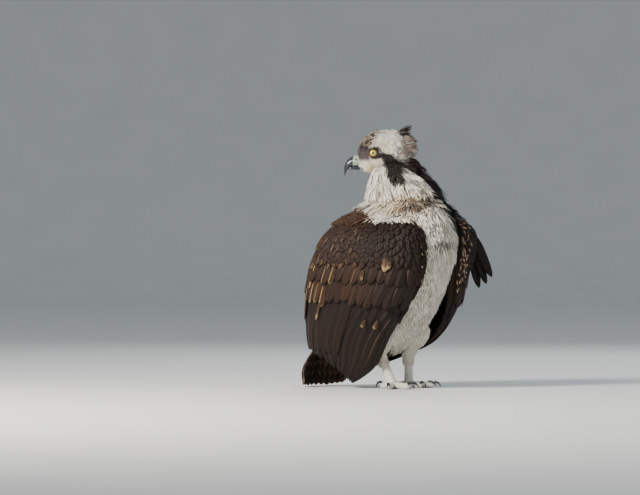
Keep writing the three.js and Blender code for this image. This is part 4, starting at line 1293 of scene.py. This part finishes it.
def ruffled_locks():
    """Longer locks that the wind lifts off the neck and the breast, in ragged rows.

    A slow wave over the body says where rows are. Each kept place bears five locks.
    """
    random = np.random.default_rng(19)
    u, v = body_sheet.scattered(8.5, random, body_share(428), body_share(268))
    x, _, z, angle = round_body(body_sheet.at(u, v)[0])
    rows = np.sin(0.2 * z + 0.06 * x + 1.5 * np.sin(0.07 * x + 1.0))
    open_below = (z > 330) | ((angle > 20) & (angle < 165))
    keep = (rows > random.uniform(-0.5, 0.9, len(z))) & open_below
    u, v = (np.repeat(places[keep], 5) for places in (u, v))
    girth = body_sheet.read(u, v)[:, 7]
    u = u + random.normal(0, 0.002, len(u))
    v = v + random.normal(0, 2.2, len(v)) / girth
    points, _ = body_sheet.at(u, v)
    base, _, _, brown, mane = body_marks(points, random)
    u, v, points, base, mane = pick(brown < 0.5, u, v, points, base, mane)
    count = len(u)
    turn = combed(points, random)[0] * 1.6
    tip = body_sheet.ahead(u, v, random.uniform(20, 34, count), turn)
    pair = (-3.0, random.uniform(5, 9, count) + 3.5 * step(330, 380, points[:, 2]))
    wide = random.uniform(1.1, 1.9, count)
    made = feathers(body_sheet, (u, v), tip, wide, pair, LOCK, TENT, random, 0.4, 0.3, 1.4)
    marks = np.zeros((count, 4))
    marks[:, 0] = 0.12 * (random.uniform(0, 1, count) > 0.75) * (mane < 0.3)
    return coloured(made, base, linear("7c6146"), marks)


def mantle_coat():
    """Broad brown feathers over the shoulders and the top of the back."""
    random = np.random.default_rng(17)
    u, v = body_sheet.scattered(8.0, random, body_share(372), body_share(318))
    points, _ = body_sheet.at(u, v)
    base, fringe, marks, brown, _ = body_marks(points, random)
    u, v, base, fringe, marks = pick(brown > 0.5, u, v, base, fringe, marks)
    count = len(u)
    long = 34 * random.uniform(0.85, 1.15, count)
    tip = body_sheet.ahead(u, v, long, random.normal(0, 0.12, count))
    wide = 8.5 * random.uniform(0.85, 1.15, count)
    lift = (-3.0, random.uniform(5.0, 8.0, count))
    made = feathers(body_sheet, (u, v), tip, wide, lift, SCALE, THIN, random, 0.8)
    marks[:, 0] = 0.02 * (random.uniform(0, 1, count) > 0.5)
    return coloured(made, base, fringe, marks)


def head_coat():
    """The head's small tufts: they run back from the bill and round the eyes.

    They are shorter near the eyes and longer on the crown and the chin, and the cheeks'
    tufts turn down towards the throat on both sides.
    """
    random = np.random.default_rng(23)
    groups = {"face": [], "crown": []}
    loose = 1.0
    for region, low, high, apart, length, half, lift in HEAD_TUFTS:
        u, v = head_sheet.scattered(apart * loose, random, low, high)
        points, _ = head_sheet.at(u, v)
        f, l, height = head_frame(points)
        below = (height < -30) & (f < 12) & (f > -34) & (np.abs(l) < 12)
        near = np.hypot(f - EYE["f"], (height - EYE["u"]) * 1.05) < 9.0
        keep = ~(near & (np.abs(l) > 8)) & ~below
        u, v, points, f, l, height = pick(keep, u, v, points, f, l, height)
        base, fringe, marks = head_marks(points, random)
        count = len(u)
        reach = np.hypot(f - EYE["f"], height - EYE["u"])
        long = length * random.uniform(0.7, 1.3, count)
        long = long * (1 - 0.5 * hill(reach, 10, 6))
        long = long * (1 + 0.5 * step(24, 36, height) + 0.9 * step(-22, -36, height))
        turn, rise = combed(points * 2.5, random)
        turn = turn * 0.7 - np.sign(l) * 0.95 * step(-10, -34, height) * step(50, 40, f)
        tip = head_sheet.ahead(u, v, long, turn)
        raised = lift * rise * random.uniform(0.5, 1.3, count) + 1.2 * step(20, 34, height)
        pair = (-HEAD_COAT - 0.4, raised)
        wide = half * random.uniform(0.75, 1.25, count)
        made = feathers(head_sheet, (u, v), tip, wide, pair, TUFT, TENT, random, 0.24, 0.3, 0.3)
        groups[region].append(coloured(made, base, fringe, marks))
    return groups


def mass_coat(form, seed, apart, length, half, lift):
    """Tufts over the crest and the nape's lump, which run back from their front."""
    random = np.random.default_rng(seed)
    grid = mass_points(form)
    sheet = Sheet(grid, grid.mean(axis=1, keepdims=True), True)
    u, v = sheet.scattered(apart, random, 0.3, 0.93)
    points, _ = sheet.at(u, v)
    base, fringe, marks = head_marks(points, random)
    count = len(u)
    long = length * random.uniform(0.7, 1.2, count)
    tip = sheet.ahead(u, v, long, random.normal(0, 0.14, count))
    _, rise = combed(points * 2, random)
    pair = (-3.0, lift * rise * random.uniform(0.4, 1.3, count))
    wide = half * random.uniform(0.8, 1.2, count)
    made = feathers(sheet, (u, v), tip, wide, pair, LOCK, TENT, random, 0.35, 0.3)
    return coloured(made, base, fringe, marks)


def bundle(roots, tips, outs, halves, count, random, blade=1.2, bow=2.5, flare=5.0):
    """Many narrow blades along each lock: their roots spread over its width, their tips less.

    A few tips flare out, by the cube of a random share.
    """
    every = np.repeat(np.arange(len(roots)), count)
    along = tips[every] - roots[every]
    across = unit(np.cross(along, outs[every]))
    normal = unit(np.cross(across, along))
    offset = random.uniform(-1, 1, (2, len(every), 1))
    half = halves[every][:, None]
    start = roots[every] + across * offset[0] * half * 1.3 + normal * offset[1] * half * 0.4
    long = random.uniform(0.6, 1.1, (len(every), 1))
    end = roots[every] + along * long + across * offset[0] * half * 0.9 * (1.3 - long)
    raised = offset[1] * half * 0.25 + flare * random.uniform(0, 1, (len(every), 1)) ** 3
    wide = blade * random.uniform(0.7, 1.25, len(every))
    bend = bow * random.uniform(0.5, 1.4, len(every))
    return strands(start, end + normal * raised, normal, wide, bend, BLADE, TENT, random, 0.4)


def head_locks():
    """Blades along the crest's and the nape's locks, coloured as the head is at their middles."""
    random = np.random.default_rng(29)
    root_f, root_l, root_u, tip_f, tip_l, tip_u, half = np.array(CREST_LOCKS + NAPE_LOCKS, float).T
    roots = on_head(root_f + 6, root_l * 0.8, root_u)
    outs = unit(on_head(root_f * 0.5, root_l, root_u + 30) - HEAD_ORIGIN)
    made = bundle(roots, on_head(tip_f, tip_l, tip_u), outs, half, 60, random)
    return coloured(made, *head_marks(made["points"][:, 2, 0], random))


def hackles():
    """Dark blades down the front of the neck's left side, from roots on the body's rings, a few of them
    painted blue-grey as a sheen.
    """
    random = np.random.default_rng(37)
    turn, height, *tip = np.array(HACKLES, float).T
    angle = np.radians(turn)
    front, back, half, shift = smooth_row(BODY_LEVELS[::-1], height).T
    roots = ring(height, front, back, half, shift, BODY_SQUARE, angle, -5.0)
    outs = unit(place(np.cos(angle), np.sin(angle), 0.5))
    halves = np.full(len(HACKLES), 11.0)
    made = bundle(roots, place(*tip), outs, halves, 70, random, 1.5, 6.0, 11.0)
    chance = random.uniform(0, 1, len(made["points"]))
    base = blend(BLACK_BROWN, CHOCOLATE, chance)
    # painted sheen: about one blade in seven turns blue-grey, as gloss on the dark hackles
    base = blend(base, linear("4a4f5c"), (chance > 0.86) * 0.6)
    return coloured(made, base, BUFF)


def wing_colours(kind, t, v, random):
    """Colours of a wing's feathers: chocolate, paler and buff-tipped towards the back."""
    count = len(t)
    wobble = random.normal(0, 1, count)
    chance = random.uniform(0, 1, count)
    base = blend(CHOCOLATE, DARK, np.clip(0.45 + 0.4 * wobble, 0, 1))
    base = blend(base, MANTLE, np.clip(0.16 * wobble, 0, 0.35))
    marks = np.zeros((count, 4))
    behind = step(0.26, 0.5, v)
    if kind in ("median", "scapular", "tertial", "greater"):
        marks[:, 0] = 0.02 * (chance > 0.5) + behind * 0.02
        marks[:, 2] = behind * hill(t, 0.36, 0.12) * (chance > 0.35) * (0.4 + 0.4 * chance)
        marks[:, 2] = marks[:, 2] * step(1.0, 0.7, v + 0.1 * wobble)
        base = blend(base, RUST, behind * np.clip(0.15 + 0.15 * wobble, 0, 0.4))
    if kind == "lesser":
        marks[:, 0] = 0.012 * (chance > 0.6)
        marks[:, 2] = behind * (chance > 0.8) * 0.25
        base = blend(base, BLACK_BROWN, (1 - behind) * 0.5)
        base = blend(base, RUST, hill(t, -0.05, 0.08) * behind * 0.4)
    if kind in ("primary", "secondary"):
        base = blend(base, BLACK_BROWN, 0.4)
        marks[:, 0] = 0.015 * (chance > 0.5)
    fringe = blend(linear("7c6546"), linear("a88d63"), chance)
    return base, fringe, marks


def wing_row(sheet, kind, root, tip, half, height, random):
    """One row of a wing's vanes from root to tip, each a place along and one across the wing.

    Every other vane lies a little higher, so that neighbours overlap.
    """
    t_root, v_root, t_tip, v_tip = np.broadcast_arrays(*root, *tip)
    count = len(v_root)
    flight = kind in ("primary", "secondary")
    share = lambda t: (t - WING_TOP) / (1 - WING_TOP)
    root = (share(t_root + random.uniform(-0.008, 0.008, count)), v_root)
    tip = (share(t_tip + random.normal(0, 0.008, count)), v_tip + random.normal(0, 0.004, count))
    wide = half * random.uniform(0.93, 1.08, count)
    lift = (-3.5, height + 0.6 * (np.arange(count) % 2))
    outline, thick = (LONG_QUILL, 0.9) if flight else (COVERT, 0.8)
    made = feathers(sheet, root, tip, wide, lift, outline, SHAFTED, random, thick, 0.1)
    return coloured(made, *wing_colours(kind, t_tip, v_tip, random))


def shoulder_fringe(sheet, random):
    """Soft tufts of the body's own colours that lie over the top of the wing."""
    u, v = sheet.scattered(3.0, random, 0.0, 0.072)
    points, _ = sheet.at(u, v)
    u, v, points = pick((v > 0.03) & (v < 0.97), u, v, points)
    base, fringe, marks, brown, _ = body_marks(points, random)
    count = len(u)
    turn, rise = combed(points, random)
    tip = sheet.ahead(u, v, random.uniform(17, 27, count) * (1 - 0.25 * (brown < 0.5)), turn)
    pair = (-1.0, 5.5 * rise * random.uniform(0.8, 1.3, count))
    wide = 1.9 * random.uniform(0.8, 1.2, count) * (1 + 0.9 * (brown > 0.5))
    made = feathers(sheet, (u, v), tip, wide, pair, LOCK, TENT, random, 0.45, 0.3)
    return coloured(made, base, fringe, marks)


def buff_feathers(sheet, random):
    """A few single buff feathers of the right wing, each at the nearest place of its sheet.

    The miss of a place is its distance from the wanted one in the photo's view, less a
    small share of its height towards the camera, so that the near side is taken.
    """
    rows = np.array(BUFF_FEATHERS, float)
    x, y, z = np.moveaxis(sheet.table[..., :3], -1, 0)
    across = VIEW_RIGHT[0] * x - VIEW_RIGHT[1] * y
    facing = -VIEW_RIGHT[1] * x - VIEW_RIGHT[0] * y
    nearest = []
    for wanted, height in rows[:, :2]:
        miss = np.hypot(across - wanted, z - height) - 0.02 * facing
        nearest.append(np.unravel_index(np.argmin(miss), miss.shape))
    u, v = (np.array(nearest) / (np.array(x.shape) - 1)).T
    tip = sheet.ahead(u, v, rows[:, 2], random.normal(0, 0.08, len(rows)))
    made = feathers(sheet, (u, v), tip, rows[:, 3], (1.0, 7.0), COVERT, SHAFTED, random, 0.7, 0.15)
    return coloured(made, linear("493322"), linear("86704e"), (0.24, 0, 0, 0))


def mottled_edge(sheet, random, side):
    """Small brown and whitish scales along a wing's front edge, wider on the left wing."""
    width, brown_share = (0.11, 0.7) if side > 0 else (0.045, 0.93)
    u, v = sheet.scattered(4.0, random, 0.1, 0.42)
    keep = v < width * step(0.46, 0.3, u) * random.uniform(0.5, 1.1, len(v))
    u, v = pick(keep, u, v)
    count = len(u)
    tip = sheet.ahead(u, v, random.uniform(9, 14, count), random.normal(0, 0.2, count))
    pair = (0.0, random.uniform(4.6, 6.2, count))
    made = feathers(sheet, (u, v), tip, 2.7, pair, LOCK, TENT, random, 0.4, 0.2)
    chance = random.uniform(0, 1, count)
    pale = (random.uniform(0, 1, count) > brown_share)[:, None]
    pale_colour = blend(linear("b9a48c"), linear("7d5c3f"), chance)
    return coloured(made, np.where(pale, pale_colour, blend(MANTLE, DARK, chance)), BUFF)


def wing_coat(name):
    """A wing's feathers from the tips up, then the small coverts over its front."""
    side = WING_SIDE[name]
    random = np.random.default_rng(41 + side)
    sheet = Sheet(*wing_points(name), False)
    groups = []
    for kind, count, r0, r1, p0, p1, start, first, mid, last, half, height in WING_ROWS:
        k = np.linspace(0, 1, count)
        root = (start, r0 + (r1 - r0) * k)
        tip = (np.interp(k, [0, 0.5, 1], [first, mid, last]), p0 + (p1 - p0) * k)
        groups.append(wing_row(sheet, kind, root, tip, half, height, random))
    first, end, apart, count, half, height = LESSER_ROWS.values()
    for i, start in enumerate(np.arange(first, end, apart)):
        reach = 0.075 + 0.25 * max(0.0, start + 0.05) ** 1.2
        k = (np.arange(count) + 0.5 * (i % 2)) / count
        v = 0.015 + 0.66 * k + random.normal(0, 0.004, count)
        tip = (start + reach, v + 0.004)
        groups.append(wing_row(sheet, "lesser", (start, v), tip, half, height, random))
    front = np.arange(0.0, 0.5, 0.02)
    tip = (front + 0.06, 0.002)
    groups.append(wing_row(sheet, "lesser", (front, 0.012), tip, 4.0, 2.4, random))
    groups.append(shoulder_fringe(sheet, random))
    groups.append(mottled_edge(sheet, random, side))
    if side < 0:
        groups.append(buff_feathers(sheet, random))
    else:
        rows = np.array(WRIST_LOCKS, float)
        roots, tips = place(*rows[:, :3].T), place(*rows[:, 3:].T)
        out = unit(place(-0.5, 0.85, 0.1))
        loose = strands(roots, tips, out, 10.0, -3.0, QUILL, SHAFTED, random, 0.9)
        groups.append(coloured(loose, DARK, BUFF))
    return groups


def slab(name, outer, inner, colours, node):
    """A closed slab between an outer and an inner sheet, each with its own colour.

    Its rings run across the outer sheet and back across the inner one.
    """
    loop = np.concatenate([outer, inner[:, ::-1]], axis=1)
    rows, columns = loop.shape[:2]
    piece = closed_tube(name, loop)
    inside = np.tile(np.arange(columns) >= outer.shape[1], rows)
    tint = np.where(inside[:, None], colours[1], colours[0])
    set_tint(piece, np.concatenate([tint, tint[:2]]))
    across = np.tile(np.linspace(0, 1, columns), rows)
    places = np.stack([across, np.repeat(np.linspace(0, 1, rows), columns)], axis=-1)
    set_bake_map(piece, np.concatenate([places, places[:2]]))
    return finish(piece, [node], SKIN)


def wing_core(name):
    """The wing inside its feathers: a closed slab between the sheet and its inner side."""
    outer, inner, _ = wing_shell(name, 6, 90)
    return slab("wing_core_" + name, outer, inner, (DARK, MANTLE), "wing_" + name)


def wing_lining(name):
    """Pale feathers on the wing's inner side, which hang down its length."""
    random = np.random.default_rng(53)
    _, inner, middle = wing_shell(name, 0, 88)
    sheet = Sheet(inner, middle, False, inward=True)
    u, v = sheet.scattered(9.0, random, 0.16, 0.93)
    u, v = pick((v > 0.02) & (v < 0.5), u, v)
    count = len(u)
    long = 34 * random.uniform(0.8, 1.2, count)
    tip = sheet.ahead(u, v, long, random.normal(0, 0.1, count))
    wide = 7.5 * random.uniform(0.8, 1.2, count)
    pair = (-2.0, random.uniform(0.6, 2.0, count))
    made = feathers(sheet, (u, v), tip, wide, pair, SCALE, THIN, random, 0.6)
    marks = np.zeros((count, 4))
    marks[:, 1] = (random.uniform(0, 1, count) > 0.4) * 0.9
    pale = blend(SHADE_WHITE, GREY_BROWN, random.uniform(0, 0.5, count))
    base = blend(pale, CHOCOLATE, np.clip(step(0.2, 0.6, u) + step(0.2, 0.05, v), 0, 1))
    return coloured(made, base, CHOCOLATE, marks)


def tail_coat():
    """Twelve tail feathers, the middle pair on top, and coverts over their roots."""
    random = np.random.default_rng(61)
    sheet = Sheet(*tail_points(), False)
    rank = np.arange(TAIL_COUNT) - (TAIL_COUNT - 1) / 2
    share = rank / rank[-1]
    v_of = lambda across: (across / TAIL_EDGE + 1) / 2
    end = 1 - 0.03 * share**2 - 0.012 * random.uniform(0, 1, TAIL_COUNT)
    lift = 0.4 + 2.6 * (1 - np.abs(share)) + 0.5 * (rank > 0)
    root, tip = (0.28, v_of(0.7 * share)), (end, v_of(0.93 * share))
    pair = (lift - 4, lift)
    made = feathers(sheet, root, tip, 13.5, pair, LONG_BROAD, SHAFTED, random, 0.9, 0.06)
    base = blend(CHOCOLATE, MANTLE, random.uniform(0.1, 0.5, TAIL_COUNT))
    marks = np.tile([0.05, 0, 0, 0.32], (TAIL_COUNT, 1))
    marks[:, 2] = 0.3 * (random.uniform(0, 1, TAIL_COUNT) > 0.6)
    groups = [coloured(made, base, linear("7f6b52"), marks)]
    covert_rows = [(0.05, 0.24, 9, 3.2), (0.16, 0.26, 10, 3.2), (0.28, 0.26, 11, 3.0)]
    for start, reach, count, height in covert_rows:
        across = np.linspace(-0.85, 0.85, count)
        root = (start, v_of(across * 0.9))
        tip = (start + reach + random.normal(0, 0.01, count), v_of(across))
        pair = (-2.5, height)
        made = feathers(sheet, root, tip, 10.5, pair, COVERT, SHAFTED, random, 0.8, 0.12)
        base = blend(CHOCOLATE, RUST, random.uniform(0, 0.4, count))
        groups.append(coloured(made, base, BUFF, (0.08, 0, 0, 0)))
    return groups


def tail_core():
    """The tail's rump inside its feathers: a closed slab that ends under the coverts."""
    rows = TAIL_CORE["rows"]
    points, middle = (part[:rows] for part in tail_points(edge=TAIL_CORE["edge"]))
    inwards = unit(middle - points)
    outer, inner = (points + inwards * TAIL_CORE[side] for side in ("outer", "inner"))
    return slab("tail_core", outer, inner, (CHOCOLATE, CHOCOLATE), "tail")


def thigh_coat(name):
    """Short white tufts down a thigh, smallest and fewest at the ankle."""
    random = np.random.default_rng(67 + FEET[name]["side"])
    grid, path = thigh_grid(name)
    sheet = Sheet(grid, path[:, None], True)
    u, v = sheet.scattered(2.6, random, 0.0, 0.95)
    keep = random.uniform(0, 1, len(u)) > 0.85 * step(0.78, 0.97, u)
    u, v = pick(keep, u, v)
    count = len(u)
    size = 1 - 0.5 * u
    long = 17 * size * random.uniform(0.8, 1.2, count)
    tip_u, tip_v = sheet.ahead(u, v, long, random.normal(0, 0.14, count))
    tip = (np.minimum(tip_u, 1.0), tip_v)
    pair = (-3.5, 2.4 * size * random.uniform(0.5, 1.3, count))
    wide = 1.7 * size * random.uniform(0.8, 1.2, count)
    made = feathers(sheet, (u, v), tip, wide, pair, LOCK, TENT, random, 0.4, 0.3)
    return coloured(made, blend(WHITE, CREAM, random.uniform(0, 0.5, count)), BUFF)


def bill_piece(name, rows, node, material, sides=56, stations=90):
    """A half of the bill: squared oval sections between its ridge and its edge.

    The upper half is narrower at the ridge, swells into the cere at its root and has a slit
    nostril pressed into each side, which is deepest at its middle.
    """
    q = np.linspace(0, 1, stations) ** 0.95
    ridge_f, ridge_u, edge_f, edge_u, half = smooth_row(rows, q).T[:, :, None]
    angle = circle(sides)[None, :]
    up, wide = power(np.sin(angle), BILL_SQUARE), power(np.cos(angle), BILL_SQUARE)
    mix = (up + 1) / 2
    upper = name == "bill_upper_horn"
    narrow = 1 - (0.42 if upper else 0.0) * np.clip(up, 0, 1) ** 1.6
    end = CERE_END if upper else 0.3
    cere = step(end + 0.03, end - 0.03, q[:, None] + (0.05 * up if upper else 0))
    cere = cere * (1.0 if upper else 0.6)
    l = half * wide * narrow * (1 + 0.06 * cere)
    f = edge_f + (ridge_f - edge_f) * mix
    u = edge_u + (ridge_u - edge_u) * mix + 0.5 * cere * np.clip(up, 0, 1)
    pit = np.zeros_like(l)
    if upper:
        reach_f = (f - NOSTRIL["f"]) / NOSTRIL["length"]
        reach_u = (u - NOSTRIL["u"] - 0.35 * (f - NOSTRIL["f"])) / NOSTRIL["height"]
        pit = np.exp(-((reach_f**2 + reach_u**2) ** 1.5)) * (np.abs(l) > 3)
        l = l - np.sign(l) * NOSTRIL["depth"] * pit
    piece = closed_tube(name, on_head(f, l, u))
    # the pit's depth also tells the material where to paint the nostril's shade
    set_zone(piece, cere, np.clip(pit * 1.4, 0, 1))
    return finish(piece, [node], material)


def on_axes(centre, axes, sizes):
    """The centre plus the given sizes along the given headings."""
    return centre + sum(size[..., None] * axis for size, axis in zip(sizes, axes))


def eye_pieces(side, name, glass, lid):
    """An eyeball with its front bulged like a lens, and a folded lid round it.

    The lid is a ring that lies on the ball, heavier above, with folds of three to a turn.
    """
    out = unit(HEAD_LEFT * side + 0.3 * HEAD_FORWARD + 0.02 * UP)
    across = unit(np.cross(UP, out))
    axes = (out, across, np.cross(out, across))
    centre = on_head(EYE["f"], side * EYE["l"], EYE["u"])
    polar = np.linspace(0.02, math.pi - 0.02, 60)[:, None]
    angle = circle(64)[None, :]
    lens = EYE_LENS["bulge"] * np.exp(-((polar / EYE_LENS["spread"]) ** 4))
    radius = EYE["radius"] - EYE_LENS["sunk"] + lens
    away = radius * np.sin(polar)
    sizes = (radius * np.cos(polar) + 0 * angle, away * np.cos(angle), away * np.sin(angle))
    ball = closed_tube("eyeball_" + name, on_axes(centre, axes, sizes))
    disc = np.where(polar < math.pi / 2, away, EYE_BACK)
    set_zone(ball, disc, np.abs(angle - math.pi), [[0, 0, 0], [EYE_BACK, 0, 0]])
    finish(ball, ["eye_" + name], glass)
    turn, around = circle(72)[:, None], circle(28)[None, :]
    above = np.clip(np.sin(turn), 0, 1)
    wide = LID["reach"] - LID["above"] * above**2 + LID["corner"] * np.abs(np.cos(turn)) ** 3
    body = LID["body"] + LID["heavier"] * above
    fold = 1 + LID["fold"] * np.sin(3 * around + 1.5)
    reach = wide + body * fold * np.cos(around) * 1.15
    on_ball = np.sqrt(np.maximum(EYE["radius"] ** 2 - wide**2, 1))
    rise = on_ball + 0.2 + body * 0.8 * np.sin(around)
    points = on_axes(centre, axes, (rise, reach * np.cos(turn), reach * np.sin(turn)))
    points = points.reshape(-1, 3)
    faces = outward(points - centre, [grid_faces(72, 28, True, True)])
    finish(build("lid_" + name, points, faces), ["head"], lid)


def shank_piece(name, leg):
    """A bare shank: rings down a bent line, with plates in front and fine knots."""
    foot = FEET[name]
    ankle_s, foot_s = foot["ankle_s"], foot["s"]
    line = [  # place along, reach forward, height, radius
        [0, ankle_s, foot["ankle_z"] + 4, 10.0],
        [0.5, ankle_s * 0.45 + foot_s * 0.55, foot["ankle_z"] / 2, 8.4],
        [0.85, ankle_s * 0.1 + foot_s * 0.9, 16, 9.0],
        [1, foot_s, 7, 10.2],
    ]
    k = np.linspace(0, 1, 70)
    s, z, radius = smooth_row(line, k).T
    angle = circle(FOOT_SIDES)[None, :]
    scutes = 0.35 * np.abs(np.sin(k * 26)[:, None]) * np.clip(np.sin(angle + 0.6), 0, 1)
    knots = 0.16 * np.sin(angle * 7 + k[:, None] * 40)
    rings = tube_points(place(foot["x"], s, z), radius[:, None] + scutes + knots, FOOT_SIDES)
    shank = closed_tube("shank_" + name, rings)
    set_values(shank, "zone", np.zeros((len(shank.data.vertices), 3)))
    finish(shank, ["tarsus_" + name], leg)


def from_foot(name, turn, reach, z):
    """Points at a reach from the foot's middle, turned outwards from straight ahead."""
    foot = FEET[name]
    heading = math.radians(turn + foot["out"]) * foot["side"]
    return place(foot["x"] + math.sin(heading) * reach, foot["s"] + math.cos(heading) * reach, z)


def toe_piece(name, toe, leg):
    """A toe with swollen joints and plates above, pressed flat where it meets the floor."""
    turn, length, _ = TOES[toe]
    k = np.linspace(0, 1, 48)
    at, *profile = np.array(TOE_PROFILE).T
    height, radius = (np.interp(k, at, part) for part in profile)
    joints = sum(share * hill(k, middle, width) for middle, width, share in TOE_JOINTS)
    radius = radius + 0.5 * joints - 0.3
    radius = radius * np.sqrt(1 - 0.93 * step(0.86, 1.0, k) ** 2)
    above = np.clip(np.sin(circle(FOOT_SIDES)[None, :]), 0, 1)
    plates = 0.3 * np.abs(np.sin(k * length * 0.75))[:, None] * above
    path = from_foot(name, turn, 2 + (length + 1.5) * k, height)
    points = tube_points(path, radius[:, None] + plates, FOOT_SIDES)
    points[..., 2] = np.maximum(points[..., 2], FLOOR_GAP)
    piece = closed_tube("toe_scaled_" + toe + "_" + name, points)
    # second zone value: 1 on the toe's lowest millimetres, which the material greys
    set_zone(piece, 0.0, step(4, 0.5, points[..., 2]))
    finish(piece, ["toe_" + toe + "_" + name], leg)


def claw_piece(name, toe, claw_horn):
    """A claw: a tapering tube along an arc that ends just above the floor."""
    turn, length, claw = TOES[toe]
    radius = claw / 2.35
    k = np.linspace(0, 1, 40)
    arc = np.radians(118 + (-8 - 118) * k)
    reach = length + 1.5 + radius * 0.47 + radius * np.cos(arc)
    height = 1.1 + radius * 0.94 * np.sin(arc)
    height = height + (1.4 - height[-1]) * step(0.75, 1.0, k)
    width = CLAW_RADIUS + (CLAW_TIP - CLAW_RADIUS) * k**1.3
    points = tube_points(from_foot(name, turn, reach, height), width, 20, 0.92)
    points[..., 2] = np.maximum(points[..., 2], FLOOR_GAP)
    piece = closed_tube("talon_" + toe + "_" + name, points)
    finish(piece, ["claw_" + toe + "_" + name], claw_horn)


# Assembly
skin_piece()
for region, tufts in body_coat().items():
    node = "neck" if region in ("throat", "neck") else "torso"
    plumage("plumes_" + region, tufts, [node], PLUMAGE)
plumage("plumes_mantle", [mantle_coat()], ["torso"], WING_PLUMAGE)
plumage("plumes_ruffled", [ruffled_locks()], ["torso", "neck"], PLUMAGE)
for region, tufts in head_coat().items():
    plumage("plumes_" + region, tufts, ["head"], PLUMAGE)
masses = [mass_coat(CREST, 71, 1.9, 19, 0.95, 6.5), mass_coat(NAPE, 73, 2.2, 21, 1.5, 3.0)]
plumage("plumes_crest", [*masses, head_locks()], ["head"], WING_PLUMAGE)
plumage("plumes_hackles", [hackles()], ["neck"], WING_PLUMAGE)
for wing in WING_LEVELS:
    wing_core(wing)
    node = "wing_" + wing
    plumage("plumes_" + node, wing_coat(wing), [node], WING_PLUMAGE)
    plumage("plumes_lining_" + wing, [wing_lining(wing)], [node], PLUMAGE)
tail_core()
plumage("plumes_tail", tail_coat(), ["tail"], WING_PLUMAGE)

horn = bill_material()
bill_piece("bill_upper_horn", UPPER_BILL, "bill_upper", horn)
bill_piece("bill_lower_horn", LOWER_BILL, "bill_lower", horn)
glass, lid = eye_material(), lid_material()
eye_pieces(1, "left", glass, lid)
eye_pieces(-1, "right", glass, lid)
leg, claw_horn = leg_material(), claw_material()
for foot_name in FEET:
    node = "thigh_" + foot_name
    plumage("plumes_" + node, [thigh_coat(foot_name)], [node], PLUMAGE)
    shank_piece(foot_name, leg)
    for toe_name in TOES:
        toe_piece(foot_name, toe_name, leg)
        claw_piece(foot_name, toe_name, claw_horn)


# Stage, camera and lights
def stage_floor():
    """A wide round bowl of pale floor: level, then rising far from the bird on every side."""
    paint = Paint("pale_floor")
    colour = paint.mix(paint.noise(4.0, 6.0), "c9cac8", "d6d6d3")
    turn = np.linspace(0, 2 * math.pi, 97)[:, None]
    bend = np.radians(np.linspace(0, 90, 25))
    reach = np.concatenate([[0.01], BOWL_LEVEL + BOWL_BEND * np.sin(bend), [BOWL_LEVEL + BOWL_BEND]])
    rise = np.concatenate([[0], BOWL_BEND * (1 - np.cos(bend)), [BOWL_RIM]])
    corners = np.stack([reach * np.cos(turn), reach * np.sin(turn), rise + 0 * turn], axis=-1)
    mesh = bpy.data.meshes.new("floor")
    faces = grid_faces(*corners.shape[:2], False)
    mesh.from_pydata(corners.reshape(-1, 3).tolist(), [], faces.tolist())
    mesh.polygons.foreach_set("use_smooth", np.full(len(mesh.polygons), True))
    mesh.materials.append(paint.set(Base_Color=colour, Roughness=0.8))
    floor = link("floor", mesh)


def light(name, turn, height, distance, size, watts, colour):
    """A square lamp at a turn from the camera's side, aimed at the bird's middle."""
    data = bpy.data.lights.new(name, "AREA")
    data.shape = "SQUARE"
    data.size = size
    data.energy = watts
    data.color = colour
    lamp = link(name, data)
    heading = VIEW_TURN + math.radians(turn)
    lamp.location = (distance * math.sin(heading), -distance * math.cos(heading), height)
    aim = Vector((0, 0, AIM_HEIGHT)) - lamp.location
    lamp.rotation_euler = aim.to_track_quat("-Z", "Y").to_euler()


def camera():
    """The photo's view: level, far off and aimed at the picture's middle beside the bird."""
    data = bpy.data.cameras.new("camera")
    data.sensor_width = VIEW_SENSOR
    data.lens = VIEW_LENS
    data.clip_end = 200
    eye = link("camera", data)
    right = np.array([math.cos(VIEW_TURN), math.sin(VIEW_TURN), 0])
    aim = right * VIEW_AIM[0] * MM + np.array([SHIFT[0], SHIFT[1], VIEW_AIM[1] * MM])
    back = np.array([math.sin(VIEW_TURN), -math.cos(VIEW_TURN), 0])
    eye.location = Vector(aim + back * VIEW_DISTANCE)
    eye.rotation_euler = (Vector(aim) - eye.location).to_track_quat("-Z", "Y").to_euler()
    bpy.context.scene.camera = eye


stage_floor()
for lamp_row in LAMPS:
    light(*lamp_row)
world = bpy.data.worlds.new("studio")
world.use_nodes = True
world.node_tree.nodes["Background"].inputs[0].default_value = rgba(linear("c3cbd3"))
world.node_tree.nodes["Background"].inputs[1].default_value = ROOM_LIGHT
bpy.context.scene.world = world
camera()
